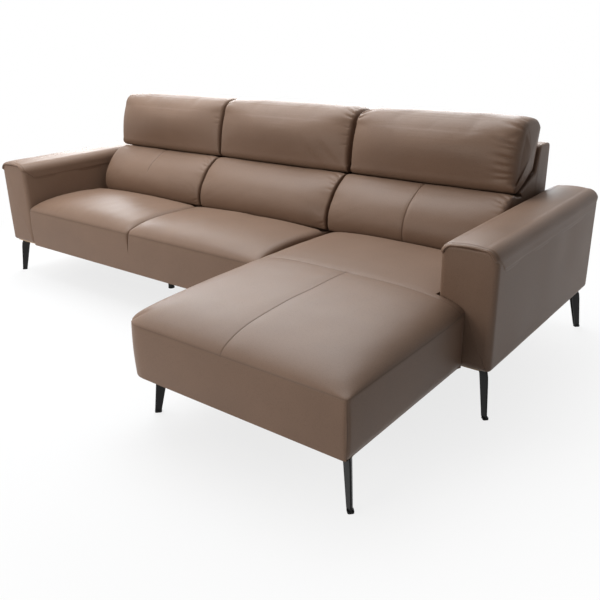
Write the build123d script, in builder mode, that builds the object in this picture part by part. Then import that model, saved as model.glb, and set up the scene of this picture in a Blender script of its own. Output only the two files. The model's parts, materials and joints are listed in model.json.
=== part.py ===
import math
import os

from build123d import *

os.makedirs("parts", exist_ok=True)

# Plan sizes of the two sections
ARM_WIDTH = 205.0
ARM_DEPTH = 1018.0
LEFT_SEAT_WIDTH = 780.0
MIDDLE_SEAT_WIDTH = 787.0
RIGHT_SEAT_WIDTH = 783.0
CHAISE_REACH = 672.0
CHAISE_ARM_OVERLAP = 105.0
SEAT_DEPTH = 455.0
BACK_INSET = 41.0
BACK_SIDE_INSET = 14.0

# Heights, each measured from the piece below it
LEG_HEIGHT = 180.0
BORDER_HEIGHT = 186.0
SEAT_CROWN = 66.0
SEAT_EDGE_CROWN = 44.0
CHAISE_CROWN = 74.0
CHAISE_EDGE_CROWN = 44.0
LEDGE_RISE = 26.0
LUMBAR_HEIGHT = 220.0
HEADREST_RISE = 247.0
BACK_RISE = 595.0
ARM_RISE = 423.0

# Back and headrest section
BACK_TOP_THICKNESS = 110.0
BACK_LEAN = 16.0
BACK_EDGE_RADIUS = 16.0
NOSE_RADIUS = 38.0
NOSE_GAP = 5.0
HINGE_REACH = 163.0
HEADREST_BELLY = 26.0
LUMBAR_BELLY = 22.0
HINGE_INSET = 165.0

# Upholstery
COVER_T = 2.0
BACK_COVER_T = 5.0
ARM_COVER_T = 12.0
ARM_EDGE_RADIUS = 14.0
ARM_TOP_RADIUS = 40.0
ARM_BOTTOM_RADIUS = 32.0
PAD_T = 26.0
PAD_PROUD = 5.0
PAD_DROP = 79.0
PAD_OVERHANG = 3.0
PAD_TIP_SETBACK = 65.0
CHAISE_SIDE_BULGE = 8.0
CHAISE_LEFT_ROUND = 48.0
CHAISE_RIGHT_ROUND = 30.0
CHAISE_CORNER_RADIUS = 80.0
CHAISE_FRONT_WALL = 12.0
SOFT_GAP = 0.5
REST_GAP = 0.3
FOAM_GAP = 0.5
PILLOW_END_DRAW = 20.0
CORE_MARGIN = 40.0
CORE_DROP = 10.0
HEADREST_END_INSET = 14.0
HEADREST_GAP = 1.5

# Wooden frame
FRAME_LIFT = 0.2
RAIL_T = 25.0
RAIL_HEIGHT = 110.0
POST_T = 18.0
ARM_PANEL_T = 18.0
BLOCK_SIZE = 110.0
BLOCK_HEIGHT = 40.0
CHAISE_BLOCK_LENGTH = 175.0
FIT_GAP = 0.4
BOARD_T = 12.0

# Springs and webbing
WIRE_R = 1.9
SPRING_HALF_WIDTH = 24.0
SPRING_RUNS = 17
SPRINGS_PER_SEAT = 4
CHAISE_SPRINGS = 8
CLIP_HEIGHT = 6.0
WEB_WIDTH = 50.0
WEB_T = 2.0
WEB_COUNT = 3

# Legs
LEG_SIDE_INSET = 16.0
LEG_END_INSET = 38.0
CHAISE_LEG_SIDE_SETBACK = 25.0
CHAISE_LEG_END_SETBACK = 55.0
LEG_SPLAY = 20.0
LEG_FOOT_DEPTH = 23.0
LEG_STEM_DEPTH = 38.0
LEG_FOOT_HALF = 9.5
LEG_STEM_HALF = 13.0
LEG_SHEET_T = 4.0
LEG_FLARE = 28.0
LEG_NECK = 20.0
PLATE_T = 4.0
GLIDE_T = 6.0
SCREW_R = 2.5
SCREW_HOLE_R = 2.8
SCREW_DEPTH = 22.0
SUPPORT_R = 15.0
SUPPORT_FLANGE_R = 34.0
CENTRE_SUPPORT_SETBACK = 297.0

# Connectors, placed as shares of the run between the support legs
CONNECTOR_SHARES = (0.3, 0.7)
TONGUE_HALF = 20.0
TONGUE_T = 4.0

# Headrest hinges
PIN_R = 4.0
PIN_CLEARANCE = 0.05
EYE_R = 14.0
EYE_T = 5.0
EAR_T = 4.0
LEAF_T = 3.0
LEAF_WIDTH = 36.0
HINGE_SIDE_GAP = 0.5
SLOT_HALF = 21.0
SLOT_CLEARANCE = 4.0

# Positions across, along and up
TOTAL_WIDTH = 2 * ARM_WIDTH + LEFT_SEAT_WIDTH + MIDDLE_SEAT_WIDTH + RIGHT_SEAT_WIDTH
TOTAL_DEPTH = CHAISE_REACH + ARM_DEPTH
X_LEFT_OUT = -TOTAL_WIDTH / 2
X_LEFT_ARM = X_LEFT_OUT + ARM_WIDTH
X_SPLIT = X_LEFT_ARM + LEFT_SEAT_WIDTH
X_JOIN = X_SPLIT + MIDDLE_SEAT_WIDTH
X_RIGHT_ARM = X_JOIN + RIGHT_SEAT_WIDTH
X_RIGHT_OUT = X_RIGHT_ARM + ARM_WIDTH
X_CHAISE_RIGHT = X_RIGHT_ARM + CHAISE_ARM_OVERLAP
Y_FRONT = -TOTAL_DEPTH / 2
Y_ARM = Y_FRONT + CHAISE_REACH
Y_REAR = Y_ARM + ARM_DEPTH
Y_LUMBAR = Y_ARM + SEAT_DEPTH
Y_STEP = Y_LUMBAR - LUMBAR_BELLY * 0.5 - 3.0
Y_BACK = Y_REAR - BACK_INSET
Z_BASE = LEG_HEIGHT
Z_FRAME = Z_BASE + FRAME_LIFT
Z_RAIL_TOP = Z_FRAME + RAIL_HEIGHT
Z_SEAM = Z_BASE + BORDER_HEIGHT
Z_LEDGE = Z_SEAM + LEDGE_RISE
Z_LEDGE_TOP = Z_LEDGE + SOFT_GAP - REST_GAP
Z_LUMBAR_TOP = Z_LEDGE + SOFT_GAP + LUMBAR_HEIGHT
Z_HINGE = Z_LUMBAR_TOP + NOSE_GAP + NOSE_RADIUS
Z_HEAD_TOP = Z_HINGE + HEADREST_RISE
Z_BACK_TOP = Z_BASE + BACK_RISE
Z_ARM_TOP = Z_BASE + ARM_RISE
Z_FOAM = Z_RAIL_TOP + CLIP_HEIGHT + FOAM_GAP
Z_PLATE_TOP = Z_FRAME - 0.3

LEAN = math.radians(BACK_LEAN)
SIN_L = math.sin(LEAN)
COS_L = math.cos(LEAN)
TAN_L = math.tan(LEAN)


def back_front(z, inset=0.0):
    """Front plane of the back at a height, moved into the back by an inset."""
    top_front = Y_BACK - BACK_TOP_THICKNESS
    return top_front - (Z_BACK_TOP - z) * TAN_L + inset / COS_L


Y_HINGE = back_front(Z_HINGE) - HINGE_REACH
Y_POST_FRONT = back_front(Z_RAIL_TOP, BACK_COVER_T)
Y_RAIL_REAR = Y_POST_FRONT - FIT_GAP
Y_SEAT_REAR = back_front(Z_RAIL_TOP) - 8.0
Z_HINGE_RAIL = Z_HINGE - 16.0
Z_LIP = Z_HINGE + 18.0


def hinge_point(forward, up):
    """Point in the headrest's own leaning frame, measured from the hinge line."""
    return (Y_HINGE - forward * COS_L + up * SIN_L, Z_HINGE + forward * SIN_L + up * COS_L)


def block(x0, x1, y0, y1, z0, z1, mode=Mode.ADD):
    with Locations(((x0 + x1) / 2, (y0 + y1) / 2, (z0 + z1) / 2)):
        Box(x1 - x0, y1 - y0, z1 - z0, mode=mode)


def prism_x(points, x0, x1):
    """Prism along X from a polygon of (y, z) points."""
    with BuildPart() as prism:
        with BuildSketch(Plane.YZ.offset(x0)):
            with BuildLine():
                Polyline(*points, close=True)
            make_face()
        extrude(amount=x1 - x0)
    return prism.part


# Seat forms: crowned over the springs, lower along the edges, with a flat ledge under the lumbar roll
SEAT_PROFILE = [(0.0, 0.0), (0.03, 0.34), (0.1, 0.6), (0.25, 0.87), (0.5, 1.0)]


def mirrored(profile):
    """Half profile given from one end to the middle, completed to the other end."""
    return profile + [(1.0 - entry[0],) + tuple(entry[1:]) for entry in reversed(profile[:-1])]


def seat_form(x0, x1):
    front = Y_ARM
    seam = Z_SEAM
    with BuildPart() as form:
        for share, fullness in mirrored(SEAT_PROFILE):
            rise = SEAT_EDGE_CROWN + (SEAT_CROWN - SEAT_EDGE_CROWN) * fullness
            shoulder = (front + SEAT_DEPTH * 0.24, seam + rise * 0.82)
            end = (Y_STEP, seam + rise * 0.78)
            with BuildSketch(Plane.YZ.offset(x0 + (x1 - x0) * share)):
                with BuildLine():
                    Line((front, Z_BASE), (front, seam))
                    ThreePointArc((front, seam), (front + SEAT_DEPTH * 0.07, seam + rise * 0.46), shoulder)
                    ThreePointArc(shoulder, (front + SEAT_DEPTH * 0.52, seam + rise), end)
                    Line(end, (Y_STEP + 4, Z_LEDGE_TOP))
                    Line((Y_STEP + 4, Z_LEDGE_TOP), (Y_SEAT_REAR, Z_LEDGE_TOP))
                    Line((Y_SEAT_REAR, Z_LEDGE_TOP), (Y_SEAT_REAR, Z_BASE))
                    Line((Y_SEAT_REAR, Z_BASE), (front, Z_BASE))
                make_face()
        loft(ruled=True)
    return form.part


CHAISE_PROFILE = [
    (0.0, 0.05, 0.07),
    (0.012, 0.22, 0.2),
    (0.035, 0.43, 0.39),
    (0.075, 0.62, 0.58),
    (0.13, 0.77, 0.74),
    (0.3, 0.95, 0.94),
    (0.52, 1.0, 1.0),
    (0.78, 0.9, 0.9),
    (1.0, 0.7, 0.7),
]


def chaise_form():
    x0 = X_JOIN + SOFT_GAP / 2
    x1 = X_CHAISE_RIGHT
    middle = (x0 + x1) / 2
    seam = Z_SEAM
    low = Z_BASE
    left_r = CHAISE_LEFT_ROUND
    right_r = CHAISE_RIGHT_ROUND
    bulge = CHAISE_SIDE_BULGE
    side_low = seam - BORDER_HEIGHT * 0.64
    with BuildPart() as form:
        for share, edge_share, crown_share in CHAISE_PROFILE:
            edge = CHAISE_EDGE_CROWN * edge_share
            left = (x0 + 80, seam + edge)
            right = (x1 - 80, seam + edge)
            y = Y_FRONT + (Y_STEP - Y_FRONT) * share
            with BuildSketch(Plane(origin=(0, y, 0), x_dir=(1, 0, 0), z_dir=(0, -1, 0))):
                with BuildLine():
                    Line((x0 + left_r, low), (x1 - right_r, low))
                    ThreePointArc(
                        (x1 - right_r, low),
                        (x1 - right_r * 0.293, low + right_r * 0.293),
                        (x1, low + right_r),
                    )
                    Line((x1, low + right_r), (x1, seam))
                    ThreePointArc((x1, seam), (x1 - 28, seam + edge * 0.58), right)
                    ThreePointArc(right, (middle, seam + CHAISE_CROWN * crown_share), left)
                    ThreePointArc(left, (x0 + bulge + 25, seam + edge * 0.58), (x0 + bulge, seam))
                    ThreePointArc((x0 + bulge, seam), (x0, seam - BORDER_HEIGHT * 0.3), (x0 + 6, side_low))
                    ThreePointArc(
                        (x0 + 6, side_low),
                        (x0 + left_r * 0.4, low + (side_low - low) * 0.27),
                        (x0 + left_r, low),
                    )
                make_face()
        loft(ruled=True)
        block(x0 + bulge, X_RIGHT_ARM, Y_STEP - 1, Y_SEAT_REAR, Z_FOAM, Z_LEDGE_TOP)
        block(
            X_RIGHT_ARM - SOFT_GAP,
            X_CHAISE_RIGHT + 10,
            Y_ARM - SOFT_GAP,
            Y_REAR,
            Z_BASE - 10,
            Z_SEAM + 200,
            mode=Mode.SUBTRACT,
        )
        with BuildSketch(Plane.XY.offset(Z_BASE - 10)):
            corner_r = CHAISE_CORNER_RADIUS
            with Locations((x0 + corner_r / 2 - 5, Y_FRONT + corner_r / 2 - 5)):
                Rectangle(corner_r + 10, corner_r + 10)
            with Locations((x0 + corner_r, Y_FRONT + corner_r)):
                Circle(corner_r, mode=Mode.SUBTRACT)
        extrude(amount=BORDER_HEIGHT + 200, mode=Mode.SUBTRACT)
    return form.part


# Pillow forms: full in the middle, drawn in towards both ends
PILLOW_PROFILE = [
    (0.0, 1.0, 0.06),
    (0.011, 0.52, 0.16),
    (0.027, 0.24, 0.28),
    (0.06, 0.07, 0.46),
    (0.14, 0.0, 0.7),
    (0.28, 0.0, 0.92),
    (0.5, 0.0, 1.0),
]


def lumbar_form(x0, x1):
    low = Z_LEDGE + SOFT_GAP
    with BuildPart() as form:
        for share, draw_share, fullness in mirrored(PILLOW_PROFILE):
            draw = PILLOW_END_DRAW * draw_share
            top = Z_LUMBAR_TOP - draw
            front = Y_LUMBAR + LUMBAR_BELLY * 0.5 + draw - LUMBAR_BELLY * fullness
            chin = (front + LUMBAR_HEIGHT * 0.02, low + LUMBAR_HEIGHT * 0.08)
            brow = (front + LUMBAR_HEIGHT * 0.2, low + (top - low) * 0.66)
            crest = (front + LUMBAR_HEIGHT * 0.6, top)
            rear_top = (back_front(top) - 4, top)
            rear_low = (back_front(low) - 4, low)
            with BuildSketch(Plane.YZ.offset(x0 + (x1 - x0) * share)):
                with BuildLine():
                    Line(rear_low, (front + 16, low))
                    ThreePointArc((front + 16, low), (front + 6, low + LUMBAR_HEIGHT * 0.03), chin)
                    ThreePointArc(chin, (front + LUMBAR_HEIGHT * 0.05, low + (top - low) * 0.4), brow)
                    ThreePointArc(
                        brow, (front + LUMBAR_HEIGHT * 0.35, low + (top - low) * 0.89), crest
                    )
                    Line(crest, rear_top)
                    Line(rear_top, rear_low)
                make_face()
        loft(ruled=True)
    return form.part


def headrest_form(x0, x1):
    with BuildPart() as form:
        for share, draw_share, fullness in mirrored(PILLOW_PROFILE):
            draw = PILLOW_END_DRAW * draw_share
            nose = NOSE_RADIUS - draw
            top = Z_HEAD_TOP - draw
            front_low = hinge_point(nose, 0)
            front_high = hinge_point(nose, HEADREST_RISE * 0.72)
            front_mid = hinge_point(nose + HEADREST_BELLY * fullness, HEADREST_RISE * 0.34)
            bottom = (Y_HINGE, Z_HINGE - nose)
            nose_mid = (Y_HINGE - nose * 0.81, Z_HINGE - nose * 0.586)
            crest_front = (front_high[0] + 48, top - 3)
            crest_rear = (crest_front[0] + 96 - draw, top - 5)
            rear_low_z = Z_HINGE + 24 + draw
            rear_low = (back_front(rear_low_z) - 4 - draw, rear_low_z)
            rear_high_z = Z_HEAD_TOP - 50
            rear_high = (back_front(rear_high_z) - 8 - draw, rear_high_z)
            crest_mid = ((crest_front[0] + crest_rear[0]) / 2, top)
            front_turn = (
                front_high[0] * 0.66 + crest_front[0] * 0.34 - 3,
                front_high[1] * 0.36 + crest_front[1] * 0.64,
            )
            rear_turn = (
                rear_high[0] * 0.68 + crest_rear[0] * 0.32 + 2,
                rear_high[1] * 0.36 + crest_rear[1] * 0.64,
            )
            with BuildSketch(Plane.YZ.offset(x0 + (x1 - x0) * share)):
                with BuildLine():
                    ThreePointArc(bottom, nose_mid, front_low)
                    ThreePointArc(front_low, front_mid, front_high)
                    ThreePointArc(front_high, front_turn, crest_front)
                    ThreePointArc(crest_front, crest_mid, crest_rear)
                    ThreePointArc(crest_rear, rear_turn, rear_high)
                    Line(rear_high, rear_low)
                    Line(rear_low, bottom)
                make_face()
        loft(ruled=True)
    return form.part


def hinge_slot(x):
    """Room inside a headrest for one fixed bracket through the whole tilt."""
    points = [
        (Y_HINGE - EYE_R - SLOT_CLEARANCE, Z_HINGE + EYE_R + SLOT_CLEARANCE),
        (Y_HINGE + EYE_R + SLOT_CLEARANCE, Z_HINGE + EYE_R + SLOT_CLEARANCE),
        (Y_HINGE + HINGE_REACH + 30, Z_HINGE + 4),
        (Y_HINGE + HINGE_REACH + 30, Z_HINGE - NOSE_RADIUS - 40),
        (Y_HINGE + 22, Z_HINGE - NOSE_RADIUS - 40),
        (Y_HINGE - EYE_R - SLOT_CLEARANCE, Z_HINGE - EYE_R - SLOT_CLEARANCE),
    ]
    return prism_x(points, x - SLOT_HALF, x + SLOT_HALF)


# Spans of the three places
SEATS = {
    "left": (X_LEFT_ARM + SOFT_GAP / 2, X_SPLIT - SOFT_GAP / 2),
    "middle": (X_SPLIT + SOFT_GAP / 2, X_JOIN - SOFT_GAP / 2),
    "right": (X_JOIN + SOFT_GAP / 2, X_RIGHT_ARM - SOFT_GAP / 2),
}
HEADS = {
    "left": (X_LEFT_ARM + HEADREST_END_INSET, X_SPLIT - HEADREST_GAP / 2),
    "middle": (X_SPLIT + HEADREST_GAP / 2, X_JOIN - HEADREST_GAP / 2),
    "right": (X_JOIN + HEADREST_GAP / 2, X_RIGHT_ARM - HEADREST_END_INSET),
}
HINGES = {side: (span[0] + HINGE_INSET, span[1] - HINGE_INSET) for side, span in HEADS.items()}

# Seat cushions: the front panel is whole, side and rear walls stop above the rails, a foam core inside
for side, open_right in (("left", True), ("middle", False)):
    seat_x0, seat_x1 = SEATS[side]
    with BuildPart() as seat_cushion:
        add(seat_form(seat_x0, seat_x1))
        block(
            seat_x0 - 1,
            seat_x1 + 1 if open_right else seat_x1 - COVER_T,
            Y_ARM + COVER_T,
            Y_SEAT_REAR + 1,
            Z_BASE - 1,
            Z_FOAM,
            mode=Mode.SUBTRACT,
        )
        block(
            seat_x0 + CORE_MARGIN,
            seat_x1 - CORE_MARGIN,
            Y_ARM + CORE_MARGIN,
            Y_SEAT_REAR - CORE_MARGIN,
            Z_FOAM - 1,
            Z_SEAM - CORE_DROP,
            mode=Mode.SUBTRACT,
        )
    seat_cushion.part.label = side + "_seat_cushion"
    export_step(seat_cushion.part, "parts/" + side + "_seat_cushion.step")

    with BuildPart() as seat_core:
        block(
            seat_x0 + CORE_MARGIN + FOAM_GAP,
            seat_x1 - CORE_MARGIN - FOAM_GAP,
            Y_ARM + CORE_MARGIN + FOAM_GAP,
            Y_SEAT_REAR - CORE_MARGIN - FOAM_GAP,
            Z_FOAM,
            Z_SEAM - CORE_DROP - FOAM_GAP,
        )
    seat_core.part.label = side + "_seat_core"
    export_step(seat_core.part, "parts/" + side + "_seat_core.step")

# Chaise cushion: padded walls round the frame, open below, a foam core over the springs
CHAISE_X0 = X_JOIN + CHAISE_LEFT_ROUND + COVER_T + 4
CHAISE_X1 = X_RIGHT_ARM - SOFT_GAP - COVER_T - FIT_GAP
CHAISE_X2 = X_CHAISE_RIGHT - CHAISE_RIGHT_ROUND - COVER_T
Y_CHAISE_RAIL = Y_FRONT + CHAISE_FRONT_WALL + FIT_GAP
Y_CHAISE_END = Y_ARM - SOFT_GAP - COVER_T - FIT_GAP

with BuildPart() as chaise_seat_cushion:
    add(chaise_form())
    block(
        CHAISE_X0 - FIT_GAP,
        CHAISE_X1 + FIT_GAP,
        Y_CHAISE_RAIL - FIT_GAP,
        Y_SEAT_REAR + 1,
        Z_BASE - 1,
        Z_FOAM,
        mode=Mode.SUBTRACT,
    )
    block(
        CHAISE_X1 - 1,
        CHAISE_X2 + FIT_GAP,
        Y_CHAISE_RAIL - FIT_GAP,
        Y_CHAISE_END + FIT_GAP,
        Z_BASE - 1,
        Z_FOAM,
        mode=Mode.SUBTRACT,
    )
    block(
        CHAISE_X0 + CORE_MARGIN,
        CHAISE_X1 - CORE_MARGIN,
        Y_FRONT + CORE_MARGIN,
        Y_SEAT_REAR - CORE_MARGIN,
        Z_FOAM - 1,
        Z_SEAM - CORE_DROP,
        mode=Mode.SUBTRACT,
    )
chaise_seat_cushion.part.label = "chaise_seat_cushion"
export_step(chaise_seat_cushion.part, "parts/chaise_seat_cushion.step")

with BuildPart() as chaise_seat_core:
    block(
        CHAISE_X0 + CORE_MARGIN + FOAM_GAP,
        CHAISE_X1 - CORE_MARGIN - FOAM_GAP,
        Y_FRONT + CORE_MARGIN + FOAM_GAP,
        Y_SEAT_REAR - CORE_MARGIN - FOAM_GAP,
        Z_FOAM,
        Z_SEAM - CORE_DROP - FOAM_GAP,
    )
chaise_seat_core.part.label = "chaise_seat_core"
export_step(chaise_seat_core.part, "parts/chaise_seat_core.step")

# Lumbar rolls, filled covers standing on the seat ledge
for side, (seat_x0, seat_x1) in SEATS.items():
    with BuildPart() as lumbar_cushion:
        add(lumbar_form(seat_x0 + 0.5, seat_x1 - 0.5))
    lumbar_cushion.part.label = side + "_lumbar_cushion"
    export_step(lumbar_cushion.part, "parts/" + side + "_lumbar_cushion.step")

# Headrests: board and hinge arms inside a filled cover
for side, (head_x0, head_x1) in HEADS.items():
    board_low = 20.0
    board_high = HEADREST_RISE * 0.84
    board_x0 = head_x0 + 70
    board_x1 = head_x1 - 70
    board_points = [
        hinge_point(-2, board_low),
        hinge_point(-2, board_high),
        hinge_point(-2 - BOARD_T, board_high),
        hinge_point(-2 - BOARD_T, board_low),
    ]
    room = FOAM_GAP
    board_room = [
        hinge_point(-2 + room, board_low - room),
        hinge_point(-2 + room, board_high + room),
        hinge_point(-2 - BOARD_T - room, board_high + room),
        hinge_point(-2 - BOARD_T - room, board_low - room),
    ]
    leaf_points = [
        hinge_point(-2 - BOARD_T - FIT_GAP, EYE_R * 1.25),
        hinge_point(-2 - BOARD_T - FIT_GAP, HEADREST_RISE * 0.5),
        hinge_point(-2 - BOARD_T - FIT_GAP - LEAF_T, HEADREST_RISE * 0.5),
        hinge_point(-2 - BOARD_T - FIT_GAP - LEAF_T, EYE_R * 1.25),
    ]
    leaf_room = [
        hinge_point(-2 - BOARD_T + 1, 0),
        hinge_point(-2 - BOARD_T + 1, HEADREST_RISE * 0.5 + room),
        hinge_point(-2 - BOARD_T - FIT_GAP - LEAF_T - room, HEADREST_RISE * 0.5 + room),
        hinge_point(-2 - BOARD_T - FIT_GAP - LEAF_T - room, 0),
    ]
    ear_points = [
        hinge_point(EYE_R * 0.9, 0),
        hinge_point(EYE_R * 0.3, board_low - 3),
        hinge_point(-2 - BOARD_T - FIT_GAP, board_low - 3),
        hinge_point(-2 - BOARD_T - FIT_GAP, EYE_R * 2.4),
        hinge_point(-2 - BOARD_T - FIT_GAP - LEAF_T * 0.5, EYE_R * 2.4),
        hinge_point(-2 - BOARD_T - FIT_GAP - LEAF_T * 0.5, EYE_R * 0.4),
        hinge_point(-EYE_R * 0.9, 0),
    ]

    with BuildPart() as headrest_board:
        add(prism_x(board_points, board_x0, board_x1))
    headrest_board.part.label = side + "_headrest_board"
    export_step(headrest_board.part, "parts/" + side + "_headrest_board.step")

    with BuildPart() as headrest_hinge_arms:
        for hinge_x in HINGES[side]:
            ear_x = hinge_x + EYE_T / 2 + HINGE_SIDE_GAP
            add(prism_x(leaf_points, hinge_x - LEAF_WIDTH / 2, hinge_x + LEAF_WIDTH / 2))
            add(prism_x(ear_points, ear_x, ear_x + EAR_T))
            with Locations(Location((ear_x + EAR_T / 2, Y_HINGE, Z_HINGE), (0, 90, 0))):
                Cylinder(EYE_R, EAR_T)
                Cylinder(PIN_R + PIN_CLEARANCE, EAR_T * 2, mode=Mode.SUBTRACT)
    headrest_hinge_arms.part.label = side + "_headrest_hinge_arms"
    export_step(headrest_hinge_arms.part, "parts/" + side + "_headrest_hinge_arms.step")

    with BuildPart() as headrest_cushion:
        add(headrest_form(head_x0, head_x1))
        add(prism_x(board_room, board_x0 - room, board_x1 + room), mode=Mode.SUBTRACT)
        for hinge_x in HINGES[side]:
            leaf_x0 = hinge_x - LEAF_WIDTH / 2 - room
            add(prism_x(leaf_room, leaf_x0, leaf_x0 + LEAF_WIDTH + 2 * room), mode=Mode.SUBTRACT)
            add(hinge_slot(hinge_x), mode=Mode.SUBTRACT)
    headrest_cushion.part.label = side + "_headrest_cushion"
    export_step(headrest_cushion.part, "parts/" + side + "_headrest_cushion.step")

# Fixed hinge brackets on the hinge rail, and the pins they carry
with BuildPart() as hinge_brackets:
    for side in HINGES:
        for hinge_x in HINGES[side]:
            foot_low = Z_HINGE_RAIL - 36
            foot_high = Z_HINGE_RAIL + 32
            flange = [
                (back_front(foot_low, BACK_COVER_T) - FIT_GAP, foot_low),
                (back_front(foot_high, BACK_COVER_T) - FIT_GAP, foot_high),
                (back_front(foot_high, BACK_COVER_T) - FIT_GAP - LEAF_T, foot_high),
                (back_front(foot_low, BACK_COVER_T) - FIT_GAP - LEAF_T, foot_low),
            ]
            arm_low = Z_HINGE_RAIL - 16
            arm_high = Z_HINGE_RAIL + 14
            web = [
                (Y_HINGE - 2, Z_HINGE + EYE_R * 0.6),
                (back_front(arm_high, BACK_COVER_T) - FIT_GAP - 1, arm_high),
                (back_front(arm_low, BACK_COVER_T) - FIT_GAP - 1, arm_low),
                (Y_HINGE - 2, Z_HINGE - EYE_R * 0.98),
            ]
            add(prism_x(flange, hinge_x - LEAF_WIDTH / 2, hinge_x + LEAF_WIDTH / 2))
            add(prism_x(web, hinge_x - EYE_T / 2, hinge_x + EYE_T / 2))
            with Locations(Location((hinge_x, Y_HINGE, Z_HINGE), (0, 90, 0))):
                Cylinder(EYE_R, EYE_T)
                Cylinder(PIN_R + PIN_CLEARANCE, EYE_T * 2, mode=Mode.SUBTRACT)
hinge_brackets.part.label = "headrest_hinge_brackets"
export_step(hinge_brackets.part, "parts/headrest_hinge_brackets.step")

with BuildPart() as hinge_pins:
    pin_span = EYE_T + HINGE_SIDE_GAP + EAR_T
    for side in HINGES:
        for hinge_x in HINGES[side]:
            pin_x = hinge_x - EYE_T / 2 + pin_span / 2
            with Locations(Location((pin_x, Y_HINGE, Z_HINGE), (0, 90, 0))):
                Cylinder(PIN_R, pin_span + 2 * HINGE_SIDE_GAP)
            for head_x in (
                hinge_x - EYE_T / 2 - HINGE_SIDE_GAP - 1.5,
                hinge_x + EYE_T / 2 + HINGE_SIDE_GAP + EAR_T + HINGE_SIDE_GAP + 1.5,
            ):
                with Locations(Location((head_x, Y_HINGE, Z_HINGE), (0, 90, 0))):
                    Cylinder(PIN_R + 3, 3)
hinge_pins.part.label = "headrest_hinge_pins"
export_step(hinge_pins.part, "parts/headrest_hinge_pins.step")

# Back covers: rear, top and end walls, and a front lip behind the headrests
BACKS = {
    "sofa": (X_LEFT_ARM + BACK_SIDE_INSET, X_JOIN - SOFT_GAP),
    "chaise": (X_JOIN + SOFT_GAP, X_RIGHT_ARM - BACK_SIDE_INSET),
}


def back_form(x0, x1, inset, bottom):
    rear = Y_BACK - inset
    top = Z_BACK_TOP - inset
    points = [
        (back_front(Z_RAIL_TOP, inset), bottom),
        (back_front(Z_RAIL_TOP, inset), Z_RAIL_TOP),
        (back_front(top, inset), top),
        (rear, top),
        (rear, bottom),
    ]
    return prism_x(points, x0 + inset, x1 - inset)


for module, (back_x0, back_x1) in BACKS.items():
    with BuildPart() as back_cover:
        add(back_form(back_x0, back_x1, 0.0, Z_BASE))
        top_edges = back_cover.edges().group_by(Axis.Z)[-1]
        fillet(top_edges, BACK_EDGE_RADIUS)
        with BuildPart(mode=Mode.PRIVATE) as back_void:
            add(back_form(back_x0, back_x1, BACK_COVER_T, Z_BASE - 1))
            void_edges = back_void.edges().group_by(Axis.Z)[-1]
            fillet(void_edges, BACK_EDGE_RADIUS - BACK_COVER_T)
        add(back_void.part, mode=Mode.SUBTRACT)
        block(
            back_x0 - 1,
            back_x1 + 1,
            back_front(Z_BASE) - 60,
            back_front(Z_LIP, BACK_COVER_T) + 2,
            Z_BASE - 1,
            Z_LIP,
            mode=Mode.SUBTRACT,
        )
    back_cover.part.label = module + "_back_cover"
    export_step(back_cover.part, "parts/" + module + "_back_cover.step")

# Back frame: wedge posts with the top and hinge rails between them
POSTS = {}
for module, (back_x0, back_x1) in BACKS.items():
    first = back_x0 + BACK_COVER_T + FIT_GAP
    last = back_x1 - BACK_COVER_T - FIT_GAP - POST_T
    POSTS[module] = [first, last]
POSTS["sofa"].insert(1, X_SPLIT - POST_T / 2)

for module, post_list in POSTS.items():
    fit = BACK_COVER_T + FIT_GAP
    post_top = Z_BACK_TOP - BACK_EDGE_RADIUS
    post_points = [
        (Y_POST_FRONT + FIT_GAP, Z_FRAME),
        (Y_POST_FRONT + FIT_GAP, Z_RAIL_TOP),
        (back_front(post_top, fit), post_top),
        (Y_BACK - fit, post_top),
        (Y_BACK - fit, Z_FRAME),
    ]
    with BuildPart() as back_posts:
        for post_x in post_list:
            add(prism_x(post_points, post_x, post_x + POST_T))
    back_posts.part.label = module + "_back_posts"
    export_step(back_posts.part, "parts/" + module + "_back_posts.step")

    with BuildPart() as back_rails:
        for post_x, next_x in zip(post_list[:-1], post_list[1:]):
            rail_x0 = post_x + POST_T
            for low, high in (
                (Z_HINGE_RAIL - 42, Z_HINGE_RAIL + 42),
                (post_top - RAIL_T, post_top),
            ):
                rail_points = [
                    (back_front(low, BACK_COVER_T), low),
                    (back_front(high, BACK_COVER_T), high),
                    (back_front(high, BACK_COVER_T + RAIL_T), high),
                    (back_front(low, BACK_COVER_T + RAIL_T), low),
                ]
                add(prism_x(rail_points, rail_x0, next_x))
    back_rails.part.label = module + "_back_rails"
    export_step(back_rails.part, "parts/" + module + "_back_rails.step")

with BuildPart() as back_webbing:
    for module, post_list in POSTS.items():
        for index in range(WEB_COUNT):
            low = Z_RAIL_TOP + 60 + index * (WEB_WIDTH + 26)
            high = low + WEB_WIDTH
            web_points = [
                (back_front(low, BACK_COVER_T) - 0.2, low),
                (back_front(high, BACK_COVER_T) - 0.2, high),
                (back_front(high, BACK_COVER_T) - 0.2 - WEB_T, high),
                (back_front(low, BACK_COVER_T) - 0.2 - WEB_T, low),
            ]
            add(prism_x(web_points, post_list[0], post_list[-1] + POST_T))
back_webbing.part.label = "back_webbing"
export_step(back_webbing.part, "parts/back_webbing.step")

# Seat frame of the two-seat section
SOFA_X0 = X_LEFT_ARM + SOFT_GAP / 2 + COVER_T + FIT_GAP
SOFA_X1 = X_JOIN - SOFT_GAP / 2 - COVER_T - FIT_GAP
Y_SOFA_RAIL = Y_ARM + COVER_T + FIT_GAP

with BuildPart() as sofa_front_rail:
    block(SOFA_X0, SOFA_X1, Y_SOFA_RAIL, Y_SOFA_RAIL + RAIL_T, Z_FRAME, Z_RAIL_TOP)
sofa_front_rail.part.label = "sofa_front_rail"
export_step(sofa_front_rail.part, "parts/sofa_front_rail.step")

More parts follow.
